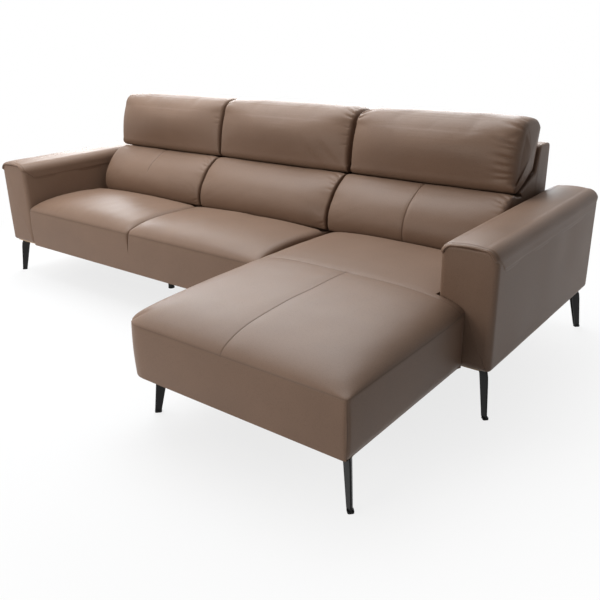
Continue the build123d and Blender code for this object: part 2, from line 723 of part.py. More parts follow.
with BuildPart() as sofa_rear_rail:
    block(SOFA_X0, SOFA_X1, Y_RAIL_REAR - RAIL_T, Y_RAIL_REAR, Z_FRAME, Z_RAIL_TOP)
sofa_rear_rail.part.label = "sofa_rear_rail"
export_step(sofa_rear_rail.part, "parts/sofa_rear_rail.step")

with BuildPart() as sofa_cross_rails:
    for rail_x in (SOFA_X0, X_SPLIT - RAIL_T / 2, SOFA_X1 - RAIL_T):
        block(
            rail_x, rail_x + RAIL_T, Y_SOFA_RAIL + RAIL_T, Y_RAIL_REAR - RAIL_T, Z_FRAME, Z_RAIL_TOP
        )
sofa_cross_rails.part.label = "sofa_cross_rails"
export_step(sofa_cross_rails.part, "parts/sofa_cross_rails.step")

# Seat frame of the chaise section
with BuildPart() as chaise_front_rail:
    block(CHAISE_X0, CHAISE_X2, Y_CHAISE_RAIL, Y_CHAISE_RAIL + RAIL_T, Z_FRAME, Z_RAIL_TOP)
chaise_front_rail.part.label = "chaise_front_rail"
export_step(chaise_front_rail.part, "parts/chaise_front_rail.step")

with BuildPart() as chaise_rear_rail:
    block(CHAISE_X0, CHAISE_X1, Y_RAIL_REAR - RAIL_T, Y_RAIL_REAR, Z_FRAME, Z_RAIL_TOP)
chaise_rear_rail.part.label = "chaise_rear_rail"
export_step(chaise_rear_rail.part, "parts/chaise_rear_rail.step")

with BuildPart() as chaise_side_rails:
    for rail_x in (CHAISE_X0, CHAISE_X1 - RAIL_T):
        block(
            rail_x,
            rail_x + RAIL_T,
            Y_CHAISE_RAIL + RAIL_T,
            Y_RAIL_REAR - RAIL_T,
            Z_FRAME,
            Z_RAIL_TOP,
        )
    block(
        CHAISE_X2 - RAIL_T,
        CHAISE_X2,
        Y_CHAISE_RAIL + RAIL_T,
        Y_CHAISE_END - RAIL_T,
        Z_FRAME,
        Z_RAIL_TOP,
    )
    block(CHAISE_X1, CHAISE_X2, Y_CHAISE_END - RAIL_T, Y_CHAISE_END, Z_FRAME, Z_RAIL_TOP)
chaise_side_rails.part.label = "chaise_side_rails"
export_step(chaise_side_rails.part, "parts/chaise_side_rails.step")

# Sinuous seat springs, front to back on the sofa and side to side on the chaise
Z_WIRE = Z_RAIL_TOP + WIRE_R + 0.2


def sinuous_spring(frame, span):
    """Zigzag wire in a plane: runs across, half-turns at both sides, from 0 to the span."""
    pitch = span / (SPRING_RUNS - 1)
    half = SPRING_HALF_WIDTH
    with BuildPart() as spring:
        with BuildLine(frame) as path:
            for index in range(SPRING_RUNS):
                sign = 1 if index % 2 == 0 else -1
                level = index * pitch
                Line((-half * sign, level), (half * sign, level))
                if index < SPRING_RUNS - 1:
                    ThreePointArc(
                        (half * sign, level),
                        ((half + pitch / 2) * sign, level + pitch / 2),
                        (half * sign, level + pitch),
                    )
        with BuildSketch(Plane(path.wire() @ 0, z_dir=path.wire() % 0)):
            Circle(WIRE_R)
        sweep(path=path.wire())
    return spring.part


SOFA_SPRINGS = []
for side in ("left", "middle"):
    seat_x0, seat_x1 = SEATS[side]
    first_x = seat_x0 + 110
    step = (seat_x1 - 110 - first_x) / (SPRINGS_PER_SEAT - 1)
    SOFA_SPRINGS += [first_x + index * step for index in range(SPRINGS_PER_SEAT)]
Y_SPRING0 = Y_SOFA_RAIL + RAIL_T / 2
Y_SPRING1 = Y_RAIL_REAR - RAIL_T / 2

with BuildPart() as sofa_seat_springs:
    for spring_x in SOFA_SPRINGS:
        origin = Plane(origin=(spring_x, Y_SPRING0, Z_WIRE))
        add(sinuous_spring(origin, Y_SPRING1 - Y_SPRING0))
sofa_seat_springs.part.label = "sofa_seat_springs"
export_step(sofa_seat_springs.part, "parts/sofa_seat_springs.step")

X_SPRING0 = CHAISE_X0 + RAIL_T / 2
X_SPRING1 = CHAISE_X1 - RAIL_T / 2
first_y = Y_CHAISE_RAIL + 95
last_y = Y_RAIL_REAR - 95
CHAISE_LINES = [
    first_y + index * (last_y - first_y) / (CHAISE_SPRINGS - 1) for index in range(CHAISE_SPRINGS)
]

with BuildPart() as chaise_seat_springs:
    for spring_y in CHAISE_LINES:
        origin = Plane(origin=(X_SPRING0, spring_y, Z_WIRE), x_dir=(0, -1, 0), z_dir=(0, 0, 1))
        add(sinuous_spring(origin, X_SPRING1 - X_SPRING0))
chaise_seat_springs.part.label = "chaise_seat_springs"
export_step(chaise_seat_springs.part, "parts/chaise_seat_springs.step")

with BuildPart() as spring_clips:
    slot = WIRE_R + 0.3
    for spring_x in SOFA_SPRINGS:
        for clip_y in (Y_SPRING0, Y_SPRING1):
            block(spring_x - 11, spring_x + 11, clip_y - 6, clip_y + 6, Z_RAIL_TOP, Z_RAIL_TOP + CLIP_HEIGHT)
            block(
                spring_x - 12,
                spring_x + 12,
                clip_y - slot,
                clip_y + slot,
                Z_RAIL_TOP - 1,
                Z_WIRE + slot,
                mode=Mode.SUBTRACT,
            )
    for spring_y in CHAISE_LINES:
        for clip_x in (X_SPRING0, X_SPRING1):
            block(clip_x - 6, clip_x + 6, spring_y - 11, spring_y + 11, Z_RAIL_TOP, Z_RAIL_TOP + CLIP_HEIGHT)
            block(
                clip_x - slot,
                clip_x + slot,
                spring_y - 12,
                spring_y + 12,
                Z_RAIL_TOP - 1,
                Z_WIRE + slot,
                mode=Mode.SUBTRACT,
            )
spring_clips.part.label = "spring_clips"
export_step(spring_clips.part, "parts/spring_clips.step")


# Arms: padded cover over a panel frame, with a saddle pad draped over the top
def arm_outline(x_centre, outward, inset, bottom):
    """Closed outline of an arm from the front, its rounded lower edge on the outer side."""
    half = ARM_WIDTH / 2 - PAD_PROUD - inset
    top = Z_ARM_TOP - PAD_T - inset
    top_r = ARM_TOP_RADIUS - inset
    low_r = ARM_BOTTOM_RADIUS
    inner = x_centre - outward * half
    outer = x_centre + outward * half
    Line((inner, bottom), (outer - outward * low_r, bottom))
    ThreePointArc(
        (outer - outward * low_r, bottom),
        (outer - outward * low_r * 0.293, bottom + low_r * 0.293),
        (outer, bottom + low_r),
    )
    Line((outer, bottom + low_r), (outer, top - top_r))
    ThreePointArc(
        (outer, top - top_r),
        (outer - outward * top_r * 0.293, top - top_r * 0.293),
        (outer - outward * top_r, top),
    )
    Line((outer - outward * top_r, top), (inner + outward * top_r, top))
    ThreePointArc(
        (inner + outward * top_r, top),
        (inner + outward * top_r * 0.293, top - top_r * 0.293),
        (inner, top - top_r),
    )
    Line((inner, top - top_r), (inner, bottom))


def arm_form(x_centre, outward, inset, bottom, y0, y1):
    with BuildPart() as form:
        with BuildSketch(Plane(origin=(0, y0, 0), x_dir=(1, 0, 0), z_dir=(0, -1, 0))):
            with BuildLine():
                arm_outline(x_centre, outward, inset, bottom)
            make_face()
        extrude(amount=-(y1 - y0))
    return form.part


ARMS = {
    "left": (X_LEFT_OUT + ARM_WIDTH / 2, -1),
    "right": (X_RIGHT_OUT - ARM_WIDTH / 2, 1),
}
for side, (arm_x, outward) in ARMS.items():
    with BuildPart() as arm_cover:
        add(arm_form(arm_x, outward, 0.0, Z_BASE, Y_ARM, Y_REAR))
        end_edges = arm_cover.edges().group_by(Axis.Y)[0] + arm_cover.edges().group_by(Axis.Y)[-1]
        fillet(end_edges, ARM_EDGE_RADIUS)
        add(
            arm_form(arm_x, outward, ARM_COVER_T, Z_FRAME, Y_ARM + ARM_COVER_T, Y_REAR - ARM_COVER_T),
            mode=Mode.SUBTRACT,
        )
        low = ARM_WIDTH / 2 - PAD_PROUD - ARM_COVER_T
        edge_out = low + ARM_COVER_T - ARM_BOTTOM_RADIUS - FIT_GAP
        block(
            arm_x - (low if outward > 0 else edge_out),
            arm_x + (edge_out if outward > 0 else low),
            Y_ARM + ARM_COVER_T,
            Y_REAR - ARM_COVER_T,
            Z_BASE - 1,
            Z_FRAME + 1,
            mode=Mode.SUBTRACT,
        )
    arm_cover.part.label = side + "_arm_cover"
    export_step(arm_cover.part, "parts/" + side + "_arm_cover.step")

    fit = ARM_COVER_T + FIT_GAP
    panel_half = ARM_WIDTH / 2 - PAD_PROUD - fit
    y_in = Y_ARM + fit + ARM_PANEL_T
    y_out = Y_REAR - fit - ARM_PANEL_T
    top = Z_ARM_TOP - PAD_T - fit
    with BuildPart() as arm_frame:
        add(arm_form(arm_x, outward, fit, Z_FRAME, Y_ARM + fit, y_in))
        add(arm_form(arm_x, outward, fit, Z_FRAME, y_out, Y_REAR - fit))
        block(
            arm_x - panel_half + (ARM_BOTTOM_RADIUS if outward < 0 else 0),
            arm_x + panel_half - (ARM_BOTTOM_RADIUS if outward > 0 else 0),
            y_in,
            y_out,
            Z_FRAME,
            Z_FRAME + RAIL_T,
        )
        block(
            arm_x - panel_half + ARM_TOP_RADIUS,
            arm_x + panel_half - ARM_TOP_RADIUS,
            y_in,
            y_out,
            top - ARM_PANEL_T,
            top,
        )
    arm_frame.part.label = side + "_arm_frame"
    export_step(arm_frame.part, "parts/" + side + "_arm_frame.step")

    half = ARM_WIDTH / 2
    pad_low = Z_ARM_TOP - PAD_DROP
    with BuildPart() as arm_pad:
        with BuildSketch(Plane(origin=(0, Y_ARM - PAD_OVERHANG, 0), x_dir=(1, 0, 0), z_dir=(0, -1, 0))):
            with BuildLine():
                Line((arm_x - half, pad_low), (arm_x + half, pad_low))
                Line((arm_x + half, pad_low), (arm_x + half, Z_ARM_TOP - 60))
                ThreePointArc(
                    (arm_x + half, Z_ARM_TOP - 60),
                    (arm_x + half - 15, Z_ARM_TOP - 24),
                    (arm_x + half - 50, Z_ARM_TOP - 6),
                )
                ThreePointArc(
                    (arm_x + half - 50, Z_ARM_TOP - 6),
                    (arm_x, Z_ARM_TOP),
                    (arm_x - half + 50, Z_ARM_TOP - 6),
                )
                ThreePointArc(
                    (arm_x - half + 50, Z_ARM_TOP - 6),
                    (arm_x - half + 15, Z_ARM_TOP - 24),
                    (arm_x - half, Z_ARM_TOP - 60),
                )
                Line((arm_x - half, Z_ARM_TOP - 60), (arm_x - half, pad_low))
            make_face()
        extrude(amount=-(ARM_DEPTH + PAD_OVERHANG))
        add(
            arm_form(arm_x, outward, -FIT_GAP, Z_BASE, Y_ARM - PAD_OVERHANG - 10, Y_REAR + 10),
            mode=Mode.SUBTRACT,
        )
        for end, inward in ((Y_ARM - PAD_OVERHANG, 1), (Y_REAR, -1)):
            tip = [
                (end - inward * 10, pad_low - 10),
                (end - inward * 10, Z_ARM_TOP - 31),
                (end, Z_ARM_TOP - 31),
                (end + inward * PAD_TIP_SETBACK * 0.6, pad_low + 14),
                (end + inward * PAD_TIP_SETBACK, pad_low - 10),
            ]
            add(prism_x(tip, arm_x - half - 5, arm_x + half + 5), mode=Mode.SUBTRACT)
    arm_pad.part.label = side + "_arm_pad"
    export_step(arm_pad.part, "parts/" + side + "_arm_pad.step")

# Blade legs: folded sheet with the fold outwards, flared into a mounting plate
LEG_CORNERS = {
    "left_front_leg": (X_LEFT_OUT + PAD_PROUD, Y_ARM, -1, -1),
    "left_rear_leg": (X_LEFT_OUT + PAD_PROUD, Y_REAR, -1, 1),
    "chaise_left_leg": (
        X_JOIN + CHAISE_LEG_SIDE_SETBACK,
        Y_FRONT + CHAISE_LEG_END_SETBACK,
        -1,
        -1,
    ),
    "chaise_right_leg": (X_CHAISE_RIGHT, Y_FRONT, 1, -1),
    "right_front_leg": (X_RIGHT_OUT - PAD_PROUD, Y_ARM, 1, -1),
    "right_rear_leg": (X_RIGHT_OUT - PAD_PROUD, Y_REAR, 1, 1),
}
PLATE_OUTLINE = [(-20, 14), (-56, 34), (-120, 34), (-120, -34), (-56, -34), (-20, -14)]
PLATE_SCREWS = [(-72, 24), (-106, 24), (-106, -24), (-72, -24)]


def leg_plane(corner, z):
    corner_x, corner_y, side_x, side_y = corner
    return Plane(
        origin=(corner_x - side_x * LEG_SIDE_INSET, corner_y - side_y * LEG_END_INSET, z),
        x_dir=(side_x, side_y, 0),
        z_dir=(0, 0, 1),
    )


LEG_TOP = Z_PLATE_TOP - PLATE_T
LEG_SECTIONS = [
    (GLIDE_T, LEG_SPLAY, LEG_FOOT_DEPTH, LEG_FOOT_HALF),
    (LEG_TOP - 44, LEG_SPLAY * 0.24, LEG_STEM_DEPTH, LEG_STEM_HALF),
    (LEG_TOP - 24, LEG_NECK * 0.05, LEG_STEM_DEPTH + LEG_FLARE * 0.08, LEG_STEM_HALF + 0.5),
    (LEG_TOP - 10, -LEG_NECK * 0.3, LEG_STEM_DEPTH + LEG_FLARE * 0.3, LEG_STEM_HALF + 2),
    (LEG_TOP, -LEG_NECK, LEG_STEM_DEPTH + LEG_FLARE, LEG_STEM_HALF + 5),
]
for leg_name, corner in LEG_CORNERS.items():
    with BuildPart() as leg:
        for z, out, depth, half in LEG_SECTIONS:
            inner = out - depth
            with BuildSketch(leg_plane(corner, z)):
                with BuildLine():
                    Polyline(
                        (inner, half),
                        (out, 2.5),
                        (out, -2.5),
                        (inner, -half),
                        (inner, -half + LEG_SHEET_T),
                        (out - LEG_SHEET_T * 2.2, 0),
                        (inner, half - LEG_SHEET_T),
                        close=True,
                    )
                make_face()
        loft(ruled=True)
        with BuildSketch(leg_plane(corner, LEG_TOP)):
            with BuildLine():
                Polyline(*PLATE_OUTLINE, close=True)
            make_face()
            with Locations(*PLATE_SCREWS):
                Circle(SCREW_HOLE_R, mode=Mode.SUBTRACT)
        extrude(amount=PLATE_T)
    leg.part.label = leg_name
    export_step(leg.part, "parts/" + leg_name + ".step")

# Round support legs under the middle of the sofa and beside the joint
SUPPORTS = [
    (X_SPLIT - RAIL_T / 2 - BLOCK_SIZE / 2, Y_ARM + CENTRE_SUPPORT_SETBACK),
    (SOFA_X1 - RAIL_T - BLOCK_SIZE / 2, Y_SOFA_RAIL + RAIL_T + BLOCK_SIZE / 2),
    (SOFA_X1 - RAIL_T - BLOCK_SIZE / 2, Y_RAIL_REAR - RAIL_T - BLOCK_SIZE / 2),
    (CHAISE_X0 + RAIL_T + BLOCK_SIZE / 2, Y_RAIL_REAR - RAIL_T - BLOCK_SIZE / 2),
]
SUPPORT_SCREWS = [(24, 0), (-12, 20.8), (-12, -20.8)]

with BuildPart() as support_legs:
    for support_x, support_y in SUPPORTS:
        with BuildSketch(Plane(origin=(support_x, support_y, GLIDE_T))):
            Circle(SUPPORT_R)
        with BuildSketch(Plane(origin=(support_x, support_y, LEG_TOP))):
            Circle(SUPPORT_R + 4)
        loft()
        with BuildSketch(Plane(origin=(support_x, support_y, LEG_TOP))):
            Circle(SUPPORT_FLANGE_R)
            with Locations(*SUPPORT_SCREWS):
                Circle(SCREW_HOLE_R, mode=Mode.SUBTRACT)
        extrude(amount=PLATE_T)
support_legs.part.label = "support_legs"
export_step(support_legs.part, "parts/support_legs.step")

with BuildPart() as leg_glides:
    for corner in LEG_CORNERS.values():
        with BuildSketch(leg_plane(corner, 0)):
            with Locations((LEG_SPLAY - LEG_FOOT_DEPTH / 2, 0)):
                RectangleRounded(LEG_FOOT_DEPTH + 1, 2 * LEG_FOOT_HALF + 1, 6)
        extrude(amount=GLIDE_T)
    for support_x, support_y in SUPPORTS:
        with BuildSketch(Plane(origin=(support_x, support_y, 0))):
            Circle(SUPPORT_R + 1)
        extrude(amount=GLIDE_T)
leg_glides.part.label = "leg_glides"
export_step(leg_glides.part, "parts/leg_glides.step")

with BuildPart() as leg_screws:
    for corner in LEG_CORNERS.values():
        with BuildSketch(leg_plane(corner, LEG_TOP - 2.5)):
            with Locations(*PLATE_SCREWS):
                Circle(SCREW_R * 2)
        extrude(amount=2.5)
        with BuildSketch(leg_plane(corner, LEG_TOP)):
            with Locations(*PLATE_SCREWS):
                Circle(SCREW_R)
        extrude(amount=SCREW_DEPTH)
    for support_x, support_y in SUPPORTS:
        with BuildSketch(Plane(origin=(support_x, support_y, LEG_TOP - 2.5))):
            with Locations(*SUPPORT_SCREWS):
                Circle(SCREW_R * 1.6)
        extrude(amount=2.5)
        with BuildSketch(Plane(origin=(support_x, support_y, LEG_TOP))):
            with Locations(*SUPPORT_SCREWS):
                Circle(SCREW_R)
        extrude(amount=SCREW_DEPTH)
leg_screws.part.label = "leg_screws"
export_step(leg_screws.part, "parts/leg_screws.step")

# Corner blocks that carry the chaise legs and the support legs
with BuildPart() as corner_blocks:
    for support_x, support_y in SUPPORTS:
        block(
            support_x - BLOCK_SIZE / 2,
            support_x + BLOCK_SIZE / 2,
            support_y - BLOCK_SIZE / 2,
            support_y + BLOCK_SIZE / 2,
            Z_FRAME,
            Z_FRAME + BLOCK_HEIGHT,
        )
    chaise_block_y = Y_CHAISE_RAIL + RAIL_T
    block(
        CHAISE_X0 + RAIL_T,
        CHAISE_X0 + RAIL_T + BLOCK_SIZE,
        chaise_block_y,
        chaise_block_y + CHAISE_BLOCK_LENGTH,
        Z_FRAME,
        Z_FRAME + BLOCK_HEIGHT,
    )
    block(
        CHAISE_X2 - RAIL_T - BLOCK_SIZE,
        CHAISE_X2 - RAIL_T,
        chaise_block_y,
        chaise_block_y + BLOCK_SIZE,
        Z_FRAME,
        Z_FRAME + BLOCK_HEIGHT,
    )
    for rail_x in (CHAISE_X1 - RAIL_T, CHAISE_X2 - RAIL_T):
        if CHAISE_X2 - RAIL_T - BLOCK_SIZE < rail_x < CHAISE_X2 - 2 * RAIL_T:
            block(
                rail_x - FIT_GAP,
                rail_x + RAIL_T + FIT_GAP,
                chaise_block_y - 1,
                chaise_block_y + BLOCK_SIZE + 1,
                Z_FRAME - 1,
                Z_FRAME + BLOCK_HEIGHT + 1,
                mode=Mode.SUBTRACT,
            )
corner_blocks.part.label = "corner_blocks"
export_step(corner_blocks.part, "parts/corner_blocks.step")

# Connectors under the joint: a channel on the sofa takes a tongue from the chaise
CONNECTOR_Y = [
    SUPPORTS[1][1] + (SUPPORTS[2][1] - SUPPORTS[1][1]) * share for share in CONNECTOR_SHARES
]
Z_TONGUE = Z_BASE - 1.0 - TONGUE_T

with BuildPart() as connector_tongues:
    for connector_y in CONNECTOR_Y:
        y0 = connector_y - TONGUE_HALF
        y1 = connector_y + TONGUE_HALF
        block(X_JOIN - 48, CHAISE_X0 + 60, y0, y1, Z_TONGUE, Z_TONGUE + TONGUE_T)
        block(CHAISE_X0 + 2, CHAISE_X0 + 60, y0, y1, Z_TONGUE + TONGUE_T, Z_PLATE_TOP)
connector_tongues.part.label = "connector_tongues"
export_step(connector_tongues.part, "parts/connector_tongues.step")

with BuildPart() as connector_channels:
    for connector_y in CONNECTOR_Y:
        outer = TONGUE_HALF + 0.5 + 3
        x0 = X_JOIN - 90
        x1 = X_JOIN - SOFT_GAP / 2 - COVER_T - 1
        block(x0, x1, connector_y - outer, connector_y + outer, Z_TONGUE - 3.5, Z_PLATE_TOP)
        block(
            x0 + 3,
            x1 + 1,
            connector_y - TONGUE_HALF - 0.5,
            connector_y + TONGUE_HALF + 0.5,
            Z_TONGUE - 0.5,
            Z_TONGUE + TONGUE_T + 0.5,
            mode=Mode.SUBTRACT,
        )
connector_channels.part.label = "connector_channels"
export_step(connector_channels.part, "parts/connector_channels.step")

# Dust covers under the seat frames, cut out around legs and connectors
DUST_LOW = Z_FRAME - 1.5
DUST_HIGH = Z_FRAME - 0.3
with BuildPart() as sofa_dust_cover:
    block(SOFA_X0 + 5, SOFA_X1 - 5, Y_SOFA_RAIL + 5, Y_RAIL_REAR - 5, DUST_LOW, DUST_HIGH)
    block(
        BACKS["sofa"][0] + BACK_COVER_T + 1,
        BACKS["sofa"][1] - BACK_COVER_T - 1,
        Y_RAIL_REAR - 6,
        Y_BACK - BACK_COVER_T - 1,
        DUST_LOW,
        DUST_HIGH,
    )
    for support_x, support_y in SUPPORTS[:3]:
        with Locations((support_x, support_y, Z_FRAME)):
            Cylinder(SUPPORT_FLANGE_R + 2, 20, mode=Mode.SUBTRACT)
    for connector_y in CONNECTOR_Y:
        block(
            X_JOIN - 94,
            X_JOIN,
            connector_y - TONGUE_HALF - 8,
            connector_y + TONGUE_HALF + 8,
            Z_BASE - 10,
            Z_FRAME,
            mode=Mode.SUBTRACT,
        )
sofa_dust_cover.part.label = "sofa_dust_cover"
export_step(sofa_dust_cover.part, "parts/sofa_dust_cover.step")

with BuildPart() as chaise_dust_cover:
    block(CHAISE_X0 + 5, CHAISE_X1 - 5, Y_CHAISE_RAIL + 5, Y_RAIL_REAR - 5, DUST_LOW, DUST_HIGH)
    block(CHAISE_X1 - 6, CHAISE_X2 - 5, Y_CHAISE_RAIL + 5, Y_CHAISE_END - 5, DUST_LOW, DUST_HIGH)
    block(
        BACKS["chaise"][0] + BACK_COVER_T + 1,
        BACKS["chaise"][1] - BACK_COVER_T - 1,
        Y_RAIL_REAR - 6,
        Y_BACK - BACK_COVER_T - 1,
        DUST_LOW,
        DUST_HIGH,
    )
    for support_x, support_y in SUPPORTS[3:]:
        with Locations((support_x, support_y, Z_FRAME)):
            Cylinder(SUPPORT_FLANGE_R + 2, 20, mode=Mode.SUBTRACT)
    for leg_name in ("chaise_left_leg", "chaise_right_leg"):
        with BuildSketch(leg_plane(LEG_CORNERS[leg_name], Z_BASE - 10)):
            with Locations((-64, 0)):
                Rectangle(128, 76)
        extrude(amount=20, mode=Mode.SUBTRACT)
    for connector_y in CONNECTOR_Y:
        block(
            CHAISE_X0,
            CHAISE_X0 + 64,
            connector_y - TONGUE_HALF - 4,
            connector_y + TONGUE_HALF + 4,
            Z_BASE - 10,
            Z_FRAME,
            mode=Mode.SUBTRACT,
        )
chaise_dust_cover.part.label = "chaise_dust_cover"
export_step(chaise_dust_cover.part, "parts/chaise_dust_cover.step")
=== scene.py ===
import json
import math
import random

import bmesh
import bpy
import numpy as np
from mathutils import Matrix, Vector
from mathutils.kdtree import KDTree


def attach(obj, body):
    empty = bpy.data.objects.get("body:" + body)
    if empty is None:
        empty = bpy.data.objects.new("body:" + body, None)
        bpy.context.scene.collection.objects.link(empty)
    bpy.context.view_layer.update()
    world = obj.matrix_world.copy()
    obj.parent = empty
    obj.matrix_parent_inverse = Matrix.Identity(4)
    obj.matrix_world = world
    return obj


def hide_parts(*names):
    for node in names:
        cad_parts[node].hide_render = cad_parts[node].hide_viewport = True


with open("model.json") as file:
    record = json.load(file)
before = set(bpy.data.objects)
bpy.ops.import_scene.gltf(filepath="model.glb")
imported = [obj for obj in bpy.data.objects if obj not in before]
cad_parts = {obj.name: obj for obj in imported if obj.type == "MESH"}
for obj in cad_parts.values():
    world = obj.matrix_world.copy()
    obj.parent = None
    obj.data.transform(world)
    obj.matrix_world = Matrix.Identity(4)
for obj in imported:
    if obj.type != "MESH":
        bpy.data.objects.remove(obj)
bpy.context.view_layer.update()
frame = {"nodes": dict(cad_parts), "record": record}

# Sizes shared with the frame, in metres
X_LEFT_OUT = -1.380
X_LEFT_ARM = -1.175
X_SPLIT = -0.395
X_JOIN = 0.392
X_RIGHT_ARM = 1.175
X_RIGHT_OUT = 1.380
X_CHAISE_RIGHT = 1.280
Y_FRONT = -0.845
Y_ARM = -0.173
Y_LUMBAR = 0.282
Y_BACK = 0.804
Y_REAR = 0.845
Z_BASE = 0.180
Z_SEAM = 0.366
Z_LEDGE = 0.392
Z_LUMBAR_TOP = 0.6125
Z_HINGE = 0.6555
Z_HEAD_TOP = 0.9025
Z_BACK_TOP = 0.775
Z_ARM_TOP = 0.603
SEAT_DEPTH = 0.455
SEAT_REAR = 0.546
LEAN = math.radians(16)
NOSE_RADIUS = 0.038
HEAD_RISE = 0.247
BACK_TOP_THICKNESS = 0.110
BACK_SIDE_INSET = 0.014
HINGE_REACH = 0.163
CUSHION_GAP = 0.0008


def back_front(z):
    """Where the leaning front of the back stands at a height."""
    return (Y_BACK - BACK_TOP_THICKNESS) - (Z_BACK_TOP - z) * math.tan(LEAN)


Y_HINGE = back_front(Z_HINGE) - HINGE_REACH


def hinge_point(forward, up):
    """A point of a headrest, measured from its hinge along the lean of the back."""
    return (
        Y_HINGE - forward * math.cos(LEAN) + up * math.sin(LEAN),
        Z_HINGE + forward * math.sin(LEAN) + up * math.cos(LEAN),
    )


# Small shaping functions
def ease(value):
    value = np.clip(value, 0.0, 1.0)
    return value * value * (3.0 - 2.0 * value)


def crease(distance, width):
    return np.exp(-((distance / width) ** 2))


def shoulder(distance, reach):
    return 1.0 - np.exp(-((np.maximum(distance, 0.0) / reach) ** 0.75))


def undulation(points, seed, wavelength, count=6):
    """Smooth unevenness of stretched leather: a few slow waves in seeded directions, about -1 to 1."""
    dice = random.Random(seed)
    total = np.zeros(len(points))
    for _ in range(count):
        direction = Vector((dice.gauss(0, 1), dice.gauss(0, 1), dice.gauss(0, 1))).normalized()
        length = wavelength * dice.uniform(0.7, 1.6)
        phase = dice.uniform(0, 2 * math.pi)
        total += np.sin(points @ np.array(direction) * (2 * math.pi / length) + phase)
    return total / count


def arc(start, middle, end, count):
    """Points of the circle through three points, from the first towards the last."""
    (ax, ay), (bx, by), (cx, cy) = start, middle, end
    d = 2 * (ax * (by - cy) + bx * (cy - ay) + cx * (ay - by))
    ux = ((ax**2 + ay**2) * (by - cy) + (bx**2 + by**2) * (cy - ay) + (cx**2 + cy**2) * (ay - by)) / d
    uy = ((ax**2 + ay**2) * (cx - bx) + (bx**2 + by**2) * (ax - cx) + (cx**2 + cy**2) * (bx - ax)) / d
    radius = math.hypot(ax - ux, ay - uy)
    first = math.atan2(ay - uy, ax - ux)
    via = (math.atan2(by - uy, bx - ux) - first) % (2 * math.pi)
    turn = (math.atan2(cy - uy, cx - ux) - first) % (2 * math.pi)
    if via > turn:
        turn -= 2 * math.pi
    return [
        (ux + radius * math.cos(first + turn * i / count), uy + radius * math.sin(first + turn * i / count))
        for i in range(count)
    ]


def section(outline, count, softening):
    """Closed outline resampled evenly and softened: points, outward normals, distance along."""
    raw = np.array(outline)
    loop = np.vstack([raw, raw[:1]])
    run = np.concatenate([[0], np.cumsum(np.linalg.norm(np.diff(loop, axis=0), axis=1))])
    along = np.linspace(0, run[-1], count, endpoint=False)
    points = np.stack([np.interp(along, run, loop[:, 0]), np.interp(along, run, loop[:, 1])], axis=1)
    for _ in range(softening):
        points = 0.5 * points + 0.25 * (np.roll(points, 1, axis=0) + np.roll(points, -1, axis=0))
    tangent = np.roll(points, -1, axis=0) - np.roll(points, 1, axis=0)
    normal = np.stack([tangent[:, 1], -tangent[:, 0]], axis=1)
    normal /= np.linalg.norm(normal, axis=1)[:, None]
    area = np.sum(points[:, 0] * np.roll(points[:, 1], -1) - np.roll(points[:, 0], -1) * points[:, 1])
    if area < 0:
        normal = -normal
    return points, normal, along


# Mesh builders: operators make the topology, then the shaping functions place it
def as_object(bm, name):
    mesh = bpy.data.meshes.new(name)
    bm.to_mesh(mesh)
    bm.free()
    piece = bpy.data.objects.new(name, mesh)
    bpy.context.scene.collection.objects.link(piece)
    return piece


def read_points(piece):
    flat = np.empty(len(piece.data.vertices) * 3)
    piece.data.vertices.foreach_get("co", flat)
    return flat.reshape(-1, 3)


def write_points(piece, points):
    piece.data.vertices.foreach_set("co", np.ascontiguousarray(points).ravel())
    piece.data.update()


# Marks where the seam lines run; the leather paints shade, with some dirt, along them
def write_seam(piece, seam):
    layer = piece.data.attributes.new("seam", "FLOAT", "POINT")
    layer.data.foreach_set("value", np.clip(seam, 0.0, 1.0))


def turn_outwards(piece):
    bm = bmesh.new()
    bm.from_mesh(piece.data)
    bmesh.ops.recalc_face_normals(bm, faces=bm.faces)
    bm.to_mesh(piece.data)
    bm.free()


def ring_body(name, stations, count):
    """Tube of rings closed at both ends; each vertex holds its station and place round the ring."""
    bm = bmesh.new()
    made = bmesh.ops.create_circle(bm, cap_ends=False, radius=1.0, segments=count)["verts"]
    ring = sorted(made, key=lambda v: math.atan2(v.co.y, v.co.x))
    first = ring
    for k, vert in enumerate(ring):
        vert.co = (1, k, 0)
    for station in range(2, stations - 1):
        edges = [bm.edges.get((ring[k], ring[k - 1])) for k in range(count)]
        geometry = bmesh.ops.extrude_edge_only(bm, edges=edges)["geom"]
        fresh = {item for item in geometry if isinstance(item, bmesh.types.BMVert)}
        ring = [
            next(e.other_vert(vert) for e in vert.link_edges if e.other_vert(vert) in fresh) for vert in ring
        ]
        for k, vert in enumerate(ring):
            vert.co = (station, k, 0)
    for loop, station in ((first, 0), (ring, stations - 1)):
        edges = [bm.edges.get((loop[k], loop[k - 1])) for k in range(count)]
        geometry = bmesh.ops.extrude_edge_only(bm, edges=edges)["geom"]
        fresh = [item for item in geometry if isinstance(item, bmesh.types.BMVert)]
        bmesh.ops.pointmerge(bm, verts=fresh, merge_co=(station, 0, 0))
    return as_object(bm, name)


SEAM_STEPS = [0.0, 0.0008, 0.0016, 0.0026, 0.004, 0.006, 0.009, 0.014, 0.02]
CAP_SCALES = [0.0, 0.14, 0.3, 0.46, 0.6, 0.72, 0.82, 0.9, 0.955, 0.985]


def body_distances(length, first=0.0012, growth=1.2, largest=0.016):
    """Distances from an end seam to the middle, close together near the seam."""
    out, step, here = [0.0], first, 0.0
    while here + step < length / 2:
        here += step
        out.append(here)
        step = min(step * growth, largest)
    return out


